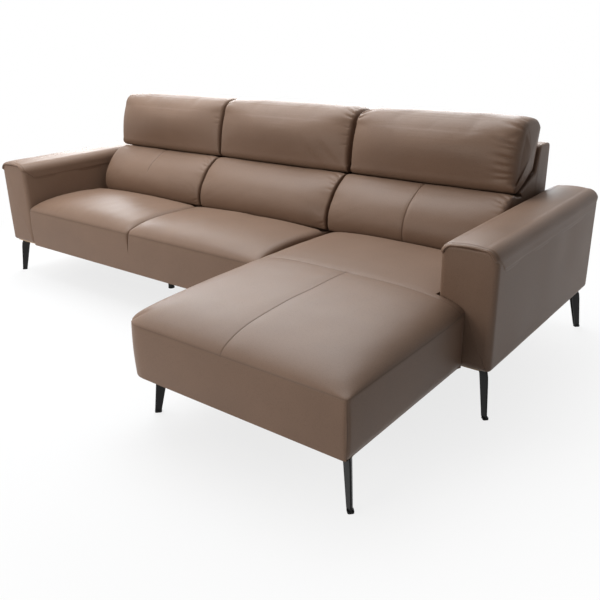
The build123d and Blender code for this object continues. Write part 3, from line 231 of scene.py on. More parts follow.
class Stations:
    """Places along a ring body: caps at both ends, then the body between the two end seams."""

    def __init__(self, start, end, bulge, lines=(), **spacing):
        length = end - start - 2 * bulge
        half = body_distances(length, **spacing)
        rows = [(start + bulge * s * s, s, 0.0, -1) for s in CAP_SCALES]
        body = [start + bulge + d for d in half] + [end - bulge - d for d in reversed(half)]
        for line in lines:
            body = [v for v in body if abs(v - line) > 0.022]
            body += [line + v for v in SEAM_STEPS] + [line - v for v in SEAM_STEPS[1:]]
        for value in sorted(body):
            near, far = value - start - bulge, end - bulge - value
            rows.append((value, 1.0, min(near, far), -1 if near < far else 1))
        rows += [(end - bulge * s * s, s, 0.0, 1) for s in reversed(CAP_SCALES)]
        table = np.array(rows)
        self.place, self.scale, self.depth, self.side = table.T
        self.count = len(rows)
        self.share = np.clip((self.place - start) / (end - start), 0, 1)


def gathers(seed, first, last, spacing, depth, reach, width):
    """Small folds that start at a seam: place along it, depth, reach, width and lean of each."""
    dice = random.Random(seed)
    out, here = [], first
    while here < last:
        out.append(
            (
                here,
                depth * dice.uniform(0.35, 1.0),
                reach * dice.uniform(0.45, 1.3),
                width * dice.uniform(0.7, 1.4),
                dice.uniform(-0.35, 0.35),
            )
        )
        here += spacing * dice.uniform(0.6, 1.5)
    return out


def fold_relief(stations, along, folds, side):
    """Relief of folds given by place along the outline, depth, start, reach, width and lean."""
    total = np.zeros((stations.count, len(along)))
    near = (stations.side == side) & (stations.scale > 0.99)
    depth = stations.depth[near][:, None]
    part = np.zeros((int(near.sum()), len(along)))
    for place, amount, start, reach, width, lean in folds:
        beyond = depth - start
        shift = along[None, :] - place - lean * beyond
        spread = width * (1.0 + np.clip(beyond, 0, None) / reach * 0.8)
        fading = np.exp(-((beyond / reach) ** 2))
        opening = np.exp(-((beyond / (0.6 * start + 0.004)) ** 2))
        swell = np.where(beyond > 0, fading, opening)
        hollow = np.exp(-((shift / spread) ** 2))
        bank = np.exp(-(((shift - 1.9 * spread) / (1.3 * spread)) ** 2))
        part += amount * swell * (0.38 * bank - hollow) * ease(depth / 0.014)
    total[near] = part
    return total


def end_round(depth, radius):
    """How far a surface falls away near an end that is rounded over."""
    gap = np.clip(radius - depth, 0.0, None)
    return radius - np.sqrt(np.maximum(radius**2 - gap**2, 0.0))


# Stuffed covers settle as cloth: held behind, below and at their ends, blown up by the filling
EVEN_MESH = 0.006
SETTLING_MOMENTS = 16
SMALLER_START = 0.004
LARGEST_MOVE = 0.022
SETTLED_SHARE = 0.8
COVER_CLOTH = {
    "quality": 4,
    "tension_stiffness": 18,
    "compression_stiffness": 18,
    "shear_stiffness": 8,
    "bending_stiffness": 2.5,
    "vertex_group_mass": "held",
    "use_pressure": True,
    "uniform_pressure_force": 5.0,
}


def apply_modifiers(piece):
    """Keeps the shape that the modifiers give, and drops them and the mesh before them."""
    former = piece.data
    shaped = piece.evaluated_get(bpy.context.evaluated_depsgraph_get())
    mesh = bpy.data.meshes.new_from_object(shaped)
    piece.modifiers.clear()
    piece.data = mesh
    bpy.data.meshes.remove(former)


def settling_copy(piece):
    """Copy of a cover on an even mesh."""
    soft = bpy.data.objects.new("settling_cover", piece.data.copy())
    bpy.context.scene.collection.objects.link(soft)
    even = soft.modifiers.new("even_mesh", "REMESH")
    even.mode = "VOXEL"
    even.voxel_size = EVEN_MESH
    apply_modifiers(soft)
    return soft


def blow_up(soft, free):
    """Runs the cloth under the filling's pressure, without weight, and keeps the settled shape."""
    held = soft.vertex_groups.new(name="held")
    for number, share in enumerate(free):
        held.add([number], float(1.0 - share), "REPLACE")
    cloth = soft.modifiers.new("filling", "CLOTH")
    for setting, value in COVER_CLOTH.items():
        setattr(cloth.settings, setting, value)
    cloth.settings.effector_weights.gravity = 0.0
    cloth.collision_settings.use_collision = False
    cloth.point_cache.frame_start = 1
    cloth.point_cache.frame_end = SETTLING_MOMENTS
    for moment in range(1, SETTLING_MOMENTS + 1):
        bpy.context.scene.frame_set(moment)
    apply_modifiers(soft)
    bpy.context.scene.frame_set(1)


def carried_back(piece, places, move):
    """The copy's movement at each point of the sewn mesh, taken from the copy's points nearest to it."""
    tree = KDTree(len(places))
    for number, place in enumerate(places):
        tree.insert(place, number)
    tree.balance()
    result = np.zeros((len(piece.data.vertices), 3))
    for number, vert in enumerate(piece.data.vertices):
        near = tree.find_n(vert.co, 8)
        weight = np.exp(-np.square([d / EVEN_MESH for _, _, d in near])) + 1e-9
        result[number] = weight @ move[[k for _, k, _ in near]] / weight.sum()
    return result


def swelling(piece):
    """How far each point of a stuffed cover moves as it settles round its filling."""
    soft = settling_copy(piece)
    full = read_points(soft)
    facing = np.empty(len(full) * 3)
    soft.data.vertices.foreach_get("normal", facing)
    facing = facing.reshape(-1, 3)
    free = ease((0.50 - facing[:, 1]) / 0.3) * ease((facing[:, 2] + 0.92) / 0.3)
    free *= ease((0.95 - np.abs(facing[:, 0])) / 0.25)
    before = full - facing * (SMALLER_START * free)[:, None]
    write_points(soft, before)
    blow_up(soft, free)
    move = read_points(soft) - before
    length = np.linalg.norm(move, axis=1)
    move *= np.minimum(1.0, LARGEST_MOVE / np.maximum(length, 1e-9))[:, None]
    result = carried_back(piece, full, move)
    settled = soft.data
    bpy.data.objects.remove(soft, do_unlink=True)
    bpy.data.meshes.remove(settled)
    return SETTLED_SHARE * result


def finish_piece(piece, nodes, body="sofa", sharp=None):
    """Leather on a padded piece, parented to the body it rides on, with the parts it stands for hidden."""
    turn_outwards(piece)
    piece.data.polygons.foreach_set("use_smooth", np.ones(len(piece.data.polygons), dtype=bool))
    if sharp:
        piece.data.set_sharp_from_angle(angle=math.radians(sharp))
    piece.data.materials.append(LEATHER)
    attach(piece, body)
    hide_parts(*nodes)
    return piece


# Shader groups shared by the finishes
def new_group(name, inputs, outputs):
    group = bpy.data.node_groups.new(name, "ShaderNodeTree")
    for label, kind, value in inputs:
        socket = group.interface.new_socket(name=label, in_out="INPUT", socket_type=kind)
        if value is not None:
            socket.default_value = value
    for label, kind in outputs:
        group.interface.new_socket(name=label, in_out="OUTPUT", socket_type=kind)
    start = group.nodes.new("NodeGroupInput")
    end = group.nodes.new("NodeGroupOutput")
    return group, start, end


def math_node(tree, operation, first, second):
    node = tree.nodes.new("ShaderNodeMath")
    node.operation = operation
    for index, value in enumerate((first, second)):
        if isinstance(value, (int, float)):
            node.inputs[index].default_value = value
        else:
            tree.links.new(value, node.inputs[index])
    return node.outputs[0]


def mix_colour(tree, factor, first, second):
    node = tree.nodes.new("ShaderNodeMix")
    node.data_type = "RGBA"
    for socket, value in ((node.inputs[0], factor), (node.inputs[6], first), (node.inputs[7], second)):
        if isinstance(value, (int, float, tuple)):
            socket.default_value = value
        else:
            tree.links.new(value, socket)
    return node.outputs[2]


def hide_grain_group():
    """Fine pebbled grain with pores, and slow tone changes of a finished hide."""
    group, start, end = new_group(
        "hide_grain",
        [("Grain Scale", "NodeSocketFloat", 420.0), ("Tone Scale", "NodeSocketFloat", 5.0)],
        [("Height", "NodeSocketFloat"), ("Tone", "NodeSocketFloat"), ("Pores", "NodeSocketFloat")],
    )
    coords = group.nodes.new("ShaderNodeTexCoord")
    pebbles = group.nodes.new("ShaderNodeTexVoronoi")
    pebbles.feature = "SMOOTH_F1"
    pebbles.inputs["Smoothness"].default_value = 0.6
    fine = group.nodes.new("ShaderNodeTexNoise")
    fine.inputs["Detail"].default_value = 3.0
    tone = group.nodes.new("ShaderNodeTexNoise")
    tone.inputs["Detail"].default_value = 4.0
    tone.inputs["Roughness"].default_value = 0.55
    group.links.new(coords.outputs["Object"], pebbles.inputs["Vector"])
    group.links.new(coords.outputs["Object"], fine.inputs["Vector"])
    group.links.new(coords.outputs["Object"], tone.inputs["Vector"])
    group.links.new(start.outputs["Grain Scale"], pebbles.inputs["Scale"])
    group.links.new(math_node(group, "MULTIPLY", start.outputs["Grain Scale"], 1.9), fine.inputs["Scale"])
    group.links.new(start.outputs["Tone Scale"], tone.inputs["Scale"])
    dome = math_node(group, "SUBTRACT", 0.8, pebbles.outputs["Distance"])
    height = math_node(group, "ADD", dome, math_node(group, "MULTIPLY", fine.outputs["Fac"], 0.5))
    pores = math_node(group, "GREATER_THAN", pebbles.outputs["Distance"], 0.62)
    group.links.new(height, end.inputs["Height"])
    group.links.new(tone.outputs["Fac"], end.inputs["Tone"])
    group.links.new(pores, end.inputs["Pores"])
    return group


def new_material(name):
    material = bpy.data.materials.new(name)
    material.use_nodes = True
    tree = material.node_tree
    shader = tree.nodes["Principled BSDF"]
    return material, tree, shader


PORE_BROWN = (0.03, 0.02, 0.015, 1.0)
# Deep brown for the seam lines: painted shade in the seam grooves, with some dirt
SEAM_SHADE_BROWN = (0.02, 0.013, 0.01, 1.0)


def leather_material(name, colour, grain):
    """Finished hide: toned base, darker pores, painted shade along the seams, fine raised grain."""
    material, tree, shader = new_material(name)
    hide = tree.nodes.new("ShaderNodeGroup")
    hide.node_tree = grain
    hide.inputs["Grain Scale"].default_value = 430.0
    hide.inputs["Tone Scale"].default_value = 4.5
    seam = tree.nodes.new("ShaderNodeAttribute")
    seam.attribute_name = "seam"
    darker = tuple(c * 0.86 for c in colour) + (1.0,)
    lighter = tuple(min(1.0, c * 1.1) for c in colour) + (1.0,)
    base = mix_colour(tree, hide.outputs["Tone"], darker, lighter)
    pore_share = math_node(tree, "MULTIPLY", hide.outputs["Pores"], 0.12)
    pored = mix_colour(tree, pore_share, base, PORE_BROWN)
    # Seam lines darkened towards deep brown: painted shade in the seam grooves, with some dirt
    seam_shade_share = math_node(tree, "MULTIPLY", seam.outputs["Fac"], 0.45)
    sewn = mix_colour(tree, seam_shade_share, pored, SEAM_SHADE_BROWN)
    tree.links.new(sewn, shader.inputs["Base Color"])
    rough = math_node(tree, "ADD", 0.40, math_node(tree, "MULTIPLY", hide.outputs["Tone"], 0.10))
    tree.links.new(rough, shader.inputs["Roughness"])
    shader.inputs["Specular IOR Level"].default_value = 0.20
    bump = tree.nodes.new("ShaderNodeBump")
    bump.inputs["Strength"].default_value = 0.16
    bump.inputs["Distance"].default_value = 0.0006
    tree.links.new(hide.outputs["Height"], bump.inputs["Height"])
    tree.links.new(bump.outputs["Normal"], shader.inputs["Normal"])
    return material


def plain_material(name, colour, roughness, scale, metallic=0.0, spread=0.12, gloss=0.5):
    """One colour with a fine speckle in its tone, roughness and height."""
    material, tree, shader = new_material(name)
    coords = tree.nodes.new("ShaderNodeTexCoord")
    speckle = tree.nodes.new("ShaderNodeTexNoise")
    speckle.inputs["Scale"].default_value = scale
    speckle.inputs["Detail"].default_value = 5.0
    tree.links.new(coords.outputs["Object"], speckle.inputs["Vector"])
    low = tuple(c * (1 - spread) for c in colour) + (1.0,)
    high = tuple(min(1.0, c * (1 + spread)) for c in colour) + (1.0,)
    tree.links.new(mix_colour(tree, speckle.outputs["Fac"], low, high), shader.inputs["Base Color"])
    uneven = math_node(tree, "MULTIPLY", speckle.outputs["Fac"], 0.12)
    rough = math_node(tree, "ADD", roughness - 0.06, uneven)
    tree.links.new(rough, shader.inputs["Roughness"])
    shader.inputs["Metallic"].default_value = metallic
    shader.inputs["Specular IOR Level"].default_value = gloss
    bump = tree.nodes.new("ShaderNodeBump")
    bump.inputs["Strength"].default_value = 0.15
    bump.inputs["Distance"].default_value = 0.0004
    tree.links.new(speckle.outputs["Fac"], bump.inputs["Height"])
    tree.links.new(bump.outputs["Normal"], shader.inputs["Normal"])
    return material


GRAIN = hide_grain_group()
LEATHER = leather_material("taupe_leather", (0.190, 0.120, 0.083), GRAIN)
FINISH = {
    "leg_metal": plain_material("black_leg_lacquer", (0.008, 0.008, 0.0085), 0.46, 180.0, gloss=0.16),
    "black_plastic": plain_material("black_plastic", (0.012, 0.012, 0.012), 0.55, 300.0, gloss=0.2),
    "steel": plain_material("zinc_steel", (0.5, 0.5, 0.5), 0.35, 220.0, metallic=1.0),
    "timber": plain_material("frame_timber", (0.45, 0.3, 0.17), 0.6, 25.0, spread=0.25),
    "foam": plain_material("seat_foam", (0.75, 0.68, 0.45), 0.9, 500.0),
    "woven": plain_material("black_cloth", (0.03, 0.03, 0.03), 0.85, 900.0),
}
for entry in frame["record"]["subparts"]:
    shown = frame["nodes"].get(entry["node"])
    if shown is not None and entry["material_slot"] in FINISH:
        for place in shown.material_slots:
            place.material = FINISH[entry["material_slot"]]


# Headrest cushions
def headrest_outline():
    nose = NOSE_RADIUS
    top = Z_HEAD_TOP
    low = hinge_point(nose - 0.004, 0)
    high = hinge_point(nose, HEAD_RISE * 0.72)
    mid = hinge_point(nose + 0.004, HEAD_RISE * 0.38)
    bottom = (Y_HINGE, Z_HINGE - nose)
    crest_front = (high[0] + 0.048, top - 0.003)
    crest_rear = (crest_front[0] + 0.096, top - 0.005)
    rear_low = (back_front(Z_HINGE + 0.024) - 0.004, Z_HINGE + 0.024)
    rear_high = (back_front(top - 0.05) - 0.008, top - 0.05)
    crest_mid = ((crest_front[0] + crest_rear[0]) / 2, top)
    front_turn = (high[0] * 0.66 + crest_front[0] * 0.34 - 0.003, high[1] * 0.36 + crest_front[1] * 0.64)
    rear_turn = (
        rear_high[0] * 0.68 + crest_rear[0] * 0.32 + 0.002,
        rear_high[1] * 0.36 + crest_rear[1] * 0.64,
    )
    nose_mid = (Y_HINGE - nose * 0.81, Z_HINGE - nose * 0.586)
    out = arc(bottom, nose_mid, low, 20)
    out += arc(low, mid, high, 20)
    out += arc(high, front_turn, crest_front, 12)
    out += arc(crest_front, crest_mid, crest_rear, 12)
    out += arc(crest_rear, rear_turn, rear_high, 12)
    return out + [rear_high, rear_low]


def pillow(
    name, body, start, end, outline, belly, seed, node, ends, folds, tight, loose,
    seams=(), soft=24, peak=0.56, bulge=0.005, corners=((0.03, 0.004), (0.03, 0.004)),
):
    """Stuffed cover, full in the middle, its ends rounded over and drawn into folds where it is sewn.

    tight gives where its ends stay square, and loose where it may settle, both from 0 to 1 round its outline.
    """
    count = 320
    points, normal, along = section(outline, count, soft)
    stations = Stations(start, end, bulge, [line for line, _ in seams])
    piece = ring_body(name, stations.count, count)
    tags = np.rint(read_points(piece)).astype(int)
    station, place = tags[:, 0], tags[:, 1] % count
    centre = points.mean(axis=0)
    lows, highs = points[:, 1].min(), points[:, 1].max()
    facing = np.clip(-normal[:, 0] * math.cos(LEAN) + normal[:, 1] * math.sin(LEAN), 0.0, 1.0)
    height = (points[:, 1] - lows) / (highs - lows)
    lifted = np.clip(height, 0, 1) ** (math.log(0.5) / math.log(peak))
    front = facing * np.sin(np.pi * lifted) ** 1.1
    fullness = np.clip(4 * stations.share * (1 - stations.share), 0, 1) ** 0.55
    relief = belly * fullness[:, None] * front[None, :]
    relief -= 0.0035 * (fullness**2)[:, None] * np.clip(normal[:, 1], 0, 1)[None, :] ** 4
    for side, (small, large) in zip((-1, 1), ends):
        radius = small + (large - small) * facing**1.2
        radius = radius * (1 - tight(points)) + min(0.3 * small, 0.02) * tight(points)
        here = stations.side == side
        relief[here] -= end_round(stations.depth[here][:, None], radius[None, :])
        relief[here] -= 0.0035 * np.exp(-stations.depth[here] / 0.05)[:, None]
    for side, (extent, fall) in zip((-1, 1), corners):
        here = stations.side == side
        upward = np.clip(normal[:, 1], 0, 1) ** 1.2
        relief[here] -= end_round(stations.depth[here], extent)[:, None] * (fall / extent) * upward[None, :]
    plain = relief.copy()
    face = np.where(facing > 0.12, points[:, 1], -9.0)
    for side, height_share, amount, begin, reach, width, lean in folds:
        spot = along[int(np.argmin(np.abs(face - (lows + (highs - lows) * height_share))))]
        relief += fold_relief(stations, along, [(spot, amount, begin, reach, width, lean)], side)
    seam = np.zeros((stations.count, count))
    for offset, top_only in seams:
        distance = np.abs(stations.place - offset)
        reach = (facing > 0.02).astype(float)
        if top_only:
            reach = reach * ease((height - 0.45) / 0.15)
        groove = 0.0022 * crease(distance, 0.0020) + 0.0020 * crease(distance, 0.010)
        relief -= groove[:, None] * reach[None, :]
        seam = np.maximum(seam, crease(distance, 0.0014)[:, None] * reach[None, :])

    def placed(raised):
        ring = points[None, :, :] + normal[None, :, :] * raised[:, :, None]
        ring = centre + (ring - centre) * stations.scale[:, None, None]
        out = np.zeros((len(tags), 3))
        out[:, 0] = stations.place[station]
        out[:, 1:] = ring[station, place]
        out[stations.scale[station] == 0.0, 1:] = centre
        return out

    world = placed(relief)
    write_points(piece, placed(plain))
    turn_outwards(piece)
    world += swelling(piece) * loose(points)[place][:, None]
    wave = undulation(world, seed, 0.16) * 0.0015 + undulation(world, seed + 50, 0.06) * 0.0004
    direction = np.zeros((len(tags), 3))
    direction[:, 1:] = normal[place]
    world += direction * (wave * stations.scale[station])[:, None]
    write_points(piece, world)
    write_seam(piece, seam[station, place])
    return finish_piece(piece, (node,), body)


RIGHT_HEAD_OVERHANG = 0.012
HEADS = {
    "left": (X_LEFT_ARM + BACK_SIDE_INSET, X_SPLIT - CUSHION_GAP),
    "middle": (X_SPLIT + CUSHION_GAP, X_JOIN - CUSHION_GAP),
    "right": (X_JOIN + CUSHION_GAP, X_RIGHT_ARM - BACK_SIDE_INSET + RIGHT_HEAD_OVERHANG),
}
HEAD_BELLY = 0.042
HEAD_BULGE = {"left": 0.006, "middle": 0.006, "right": 0.012}
# Folds: end, height share, depth, start from the end, reach, width, lean
HEAD_FOLDS = {
    "left": [(1, 0.66, 0.0022, 0.012, 0.02, 0.004, 0.1), (1, 0.58, 0.0018, 0.012, 0.018, 0.004, -0.1)],
    "middle": [
        (1, 0.94, 0.0060, 0.016, 0.034, 0.0055, 0.5),
        (1, 0.86, 0.0050, 0.016, 0.030, 0.0052, 0.35),
        (1, 0.70, 0.0024, 0.014, 0.020, 0.004, 0.1),
        (1, 0.58, 0.0022, 0.014, 0.020, 0.004, 0.0),
        (1, 0.44, 0.0018, 0.014, 0.018, 0.004, -0.1),
        (1, 0.30, 0.0026, 0.100, 0.070, 0.014, 0.9),
        (1, 0.26, 0.0022, 0.190, 0.060, 0.012, 0.9),
        (-1, 0.92, 0.0016, 0.012, 0.020, 0.004, 0.3),
    ],
    "right": [
        (1, 0.90, 0.0080, 0.036, 0.054, 0.0066, 0.35),
        (1, 0.66, 0.0080, 0.038, 0.054, 0.0066, 0.22),
        (1, 0.60, 0.0056, 0.034, 0.042, 0.0058, 0.15),
        (1, 0.49, 0.0064, 0.040, 0.046, 0.0062, 0.16),
        (1, 0.39, 0.0046, 0.042, 0.036, 0.0058, 0.06),
        (1, 0.29, 0.0046, 0.042, 0.040, 0.0058, 0.02),
        (1, 0.21, 0.0038, 0.042, 0.036, 0.0056, -0.05),
        (-1, 0.94, 0.0060, 0.018, 0.036, 0.0058, 0.5),
        (-1, 0.86, 0.0044, 0.016, 0.030, 0.0052, 0.3),
    ],
}
# Radius over which each end is rounded, at its rear and at its front
HEAD_ENDS = {
    "left": ((0.010, 0.012), (0.010, 0.012)),
    "middle": ((0.010, 0.011), (0.011, 0.014)),
    "right": ((0.010, 0.012), (0.018, 0.036)),
}
# Length and depth of the fall of each upper corner
HEAD_CORNERS = {
    "left": ((0.03, 0.004), (0.03, 0.006)),
    "middle": ((0.04, 0.008), (0.07, 0.020)),
    "right": ((0.09, 0.022), (0.06, 0.016)),
}
for index, (side, (start, end)) in enumerate(HEADS.items()):
    pillow(
        side + "_headrest", side + "_headrest", start, end, headrest_outline(), HEAD_BELLY, 11 + 7 * index,
        side + "_headrest_cushion", HEAD_ENDS[side], HEAD_FOLDS[side],
        tight=lambda p: ease((Z_HINGE + 0.012 - p[:, 1]) / 0.03),
        loose=lambda p: ease((p[:, 1] - Z_HINGE - 0.05) / 0.06),
        peak=0.60, bulge=HEAD_BULGE[side], corners=HEAD_CORNERS[side],
    )


# Lumbar rolls
def lumbar_outline():
    low = Z_LEDGE + 0.0005
    top = Z_LUMBAR_TOP
    tall = 0.220
    front = Y_LUMBAR + 0.010
    chin = (front + tall * 0.02, low + tall * 0.08)
    brow = (front + tall * 0.2, low + tall * 0.66)
    rise = (front + 0.114, top - 0.004)
    crest = (front + 0.158, top + 0.0165)
    rear_top = (back_front(top) - 0.004, top)
    rear_low = (back_front(low) - 0.004, low)
    out = [rear_low]
    out += arc((front + 0.016, low), (front + 0.006, low + tall * 0.03), chin, 8)
    out += arc(chin, (front + tall * 0.05, low + tall * 0.4), brow, 16)
    out += arc(brow, (front + 0.078, low + tall * 0.86), rise, 12)
    out += [rise, (front + 0.136, top + 0.010), crest, (crest[0] + 0.010, crest[1] + 0.0005)]
    under_hinge = [(0.0265, 0.0115), (0.0145, 0.0045), (0.0, 0.0005)]
    out += [(Y_HINGE - before, top + above) for before, above in under_hinge]
    return out + [rear_top]


SEATS = {
    "left": (X_LEFT_ARM + CUSHION_GAP, X_SPLIT - CUSHION_GAP),
    "middle": (X_SPLIT + CUSHION_GAP, X_JOIN - CUSHION_GAP),
    "right": (X_JOIN + CUSHION_GAP, X_RIGHT_ARM - CUSHION_GAP),
}
LUMBAR_BELLY = 0.024
LEFT_LUMBAR_INSET = 0.030
# Place of each seam, and whether it runs over the upper half alone
LUMBAR_SEAMS = {"left": [(-0.781, True)], "middle": [], "right": [(0.782, False)]}
CORNER_FOLDS = [
    (1, 0.97, 0.0030, 0.020, 0.040, 0.0052, 0.55),
    (1, 0.90, 0.0034, 0.018, 0.036, 0.0050, 0.40),
    (1, 0.83, 0.0030, 0.016, 0.030, 0.0048, 0.30),
    (1, 0.74, 0.0016, 0.016, 0.024, 0.0046, 0.15),
    (1, 0.16, 0.0026, 0.016, 0.034, 0.0052, -0.45),
    (1, 0.09, 0.0022, 0.018, 0.028, 0.0050, -0.35),
]
LUMBAR_ENDS = {
    "left": ((0.010, 0.012), (0.007, 0.009)),
    "middle": ((0.008, 0.010), (0.007, 0.009)),
    "right": ((0.008, 0.010), (0.014, 0.018)),
}
for index, (side, (start, end)) in enumerate(SEATS.items()):
    start = start + LEFT_LUMBAR_INSET * (side == "left")
    pillow(
        side + "_lumbar_roll", "sofa", start, end, lumbar_outline(), LUMBAR_BELLY, 61 + 7 * index,
        side + "_lumbar_cushion", LUMBAR_ENDS[side], CORNER_FOLDS,
        tight=lambda p: ease((p[:, 0] - 0.41) / 0.03),
        loose=lambda p: ease((0.375 - p[:, 0]) / 0.05),
        seams=LUMBAR_SEAMS[side], soft=28, peak=0.44,
    )


# Seat covers: a crowned top sewn to a border that runs down to the base
def cover_shell(name, xs, ys, rows, notch=None):
    """Flat grid with the border pulled down from its edge; each vertex holds its plan place and its row."""
    bm = bmesh.new()
    bmesh.ops.create_grid(bm, x_segments=len(xs) - 1, y_segments=len(ys) - 1, size=1.0)
    for vert in bm.verts:
        i = round((vert.co.x + 1) / 2 * (len(xs) - 1))
        j = round((vert.co.y + 1) / 2 * (len(ys) - 1))
        vert.co = (xs[i], ys[j], 0)
    if notch:
        gone = [v for v in bm.verts if v.co.x > notch[0] + 1e-6 and v.co.y > notch[1] + 1e-6]
        bmesh.ops.delete(bm, geom=gone, context="VERTS")
    edges = [e for e in bm.edges if e.is_boundary]
    for row in range(1, rows + 1):
        geometry = bmesh.ops.extrude_edge_only(bm, edges=edges)["geom"]
        for item in geometry:
            if isinstance(item, bmesh.types.BMVert):
                item.co.z = -row
        edges = [item for item in geometry if isinstance(item, bmesh.types.BMEdge) and item.is_boundary]
    return as_object(bm, name)


def graded(start, end, fine=0.0025, growth=1.25, largest=0.016, extra=()):
    """Places between two edges, close together near both, with the extra places kept."""
    half = body_distances(end - start, fine, growth, largest)
    places = [start + d for d in half] + [end - d for d in reversed(half)]
    for value in extra:
        places = [p for p in places if abs(p - value) > 0.0012]
        places += [value]
    return sorted(places)


def rounded_plan(x, y, corner_x, corner_y, sign_x, sign_y, radius):
    """Moves plan points near one convex corner onto a rounded corner; radius may differ by point."""
    radius = np.maximum(radius, 1e-5)
    u = (x - (corner_x - sign_x * radius)) * sign_x / radius
    v = (y - (corner_y - sign_y * radius)) * sign_y / radius
    inside = (u > 0) & (v > 0)
    reach = np.maximum(u, v)
    norm = np.hypot(u, v) + 1e-9
    new_x = corner_x - sign_x * radius + sign_x * radius * u / norm * reach
    new_y = corner_y - sign_y * radius + sign_y * radius * v / norm * reach
    return np.where(inside, new_x, x), np.where(inside, new_y, y)


BORDER_HEIGHT = Z_SEAM - Z_BASE
# Rows of the border, by their distance below the seam, then of the lip turned in under the base
BORDER_STEPS = [
    0.0012, 0.003, 0.006, 0.011, 0.018, 0.027, 0.038, 0.052, 0.068, 0.086,
    0.104, 0.122, 0.138, 0.152, 0.163, 0.171, 0.177, 0.182, 0.186,
]
LIP_STEPS = [0.006, 0.020, 0.034]
COVER_ROWS = len(BORDER_STEPS) + len(LIP_STEPS)
COVER_EDGE = 62


def border_rows(row):
    """How far below the seam and how far in under the base each row of a border is."""
    drop = np.concatenate([[0.0], BORDER_STEPS, [BORDER_STEPS[-1]] * len(LIP_STEPS)])[row]
    inward = np.concatenate([[0.0] * (len(BORDER_STEPS) + 1), LIP_STEPS])[row]
    return drop, inward


def seat_cover(name, start, end, node, seed):
    """Seat of the two-seat section: open to its neighbour by a slit that closes towards the base."""
    split_left = name.startswith("middle")
    xs = graded(start, end)
    ys = graded(Y_ARM, SEAT_REAR)
    piece = cover_shell(name, xs, ys, COVER_ROWS)
    tags = read_points(piece)
    x, y, row = tags[:, 0].copy(), tags[:, 1].copy(), np.rint(-tags[:, 2]).astype(int)
    side_x = np.where(x < start + 1e-6, -1.0, np.where(x > end - 1e-6, 1.0, 0.0))
    side_y = np.where(y < Y_ARM + 1e-6, -1.0, np.where(y > SEAT_REAR - 1e-6, 1.0, 0.0))
    drop, inward = border_rows(row)
    border_z = Z_SEAM - drop
    front_gap = y - Y_ARM
    edge_gap = np.minimum(x - start, end - x)
    across = np.clip((x - start) / (end - start), 0, 1)
    rise = 0.050 + 0.020 * np.clip(4 * across * (1 - across), 0, 1) ** 0.7
    run = np.clip(front_gap / SEAT_DEPTH, 0, 1.3)
    crown = shoulder(front_gap, 0.050) * (1.0 - 0.22 * ease((run - 0.45) / 0.6))
    rolled = 0.020 * (1 - np.sqrt(np.clip(1 - (1 - np.clip(edge_gap / 0.034, 0, 1)) ** 2, 0, 1)))
    rolled *= 0.25 + 0.75 * ease(front_gap / 0.06)
    top_z = Z_SEAM + rise * crown - rolled
    hidden = ease((y - (Y_LUMBAR - 0.016)) / 0.03)
    top_z = top_z * (1 - hidden) + np.minimum(top_z, Z_LEDGE - 0.0035) * hidden
    flat = np.stack([x, y, np.zeros_like(x)], axis=1)
    uneven = undulation(flat, seed, 0.22) * 0.0022 + undulation(flat, seed + 9, 0.09) * 0.0008
    top_z += uneven * ease(front_gap / 0.05)
    front_dents = gathers(seed + 3, start + 0.03, end - 0.03, 0.055, 0.0018, 0.03, 0.008)
    for place, amount, reach, width, lean in front_dents:
        shift = x - place - lean * front_gap
        top_z -= amount * np.exp(-((shift / width) ** 2)) * np.exp(-front_gap / reach)
    z = np.where(row == 0, top_z, border_z)
    side_wall = (row > 0) & (side_y >= 0) & (side_x != 0)
    z += np.where(side_wall, (top_z - Z_SEAM) * np.exp(-drop / 0.03), 0.0)
    z -= np.where(row == 0, 0.0012 * crease(front_gap, 0.0020), 0.0)
    share = np.clip(drop / BORDER_HEIGHT, 0, 1)
    belly = 0.0035 * np.sin(np.pi * share) - 0.0024 * np.exp(-drop / 0.0022) * (row > 0)
    belly = np.where(side_y < 0, belly, 0.0)
    slit = 0.0004 + 0.017 * ease((border_z - 0.284) / 0.085)
    slit = np.where(row == 0, 0.0174, slit)
    arm_side = np.full_like(x, 0.006)
    x, y = rounded_plan(x, y, start, Y_ARM, -1, -1, slit if split_left else arm_side)
    x, y = rounded_plan(x, y, end, Y_ARM, 1, -1, arm_side if split_left else slit)
    y = y + side_y * belly - side_y * inward * (side_y < 0)
    inner = (side_x < 0) if split_left else (side_x > 0)
    closed = ease((0.292 - border_z) / 0.012) * inner * (row > 0)
    x = x - side_x * 0.0006 + side_x * 0.00135 * closed
    world = np.stack([x, y, z], axis=1)
    write_points(piece, world)
    seam_top = 0.8 * crease(front_gap, 0.0012)
    seam_wall = np.where(side_y < 0, 0.8 * np.exp(-drop / 0.0010), 0.0)
    write_seam(piece, np.where(row == 0, seam_top, seam_wall) * (side_y <= 0))
    return finish_piece(piece, (node,), sharp=COVER_EDGE)


seat_cover("left_seat", *SEATS["left"], "left_seat_cushion", 201)
seat_cover("middle_seat", *SEATS["middle"], "middle_seat_cushion", 231)


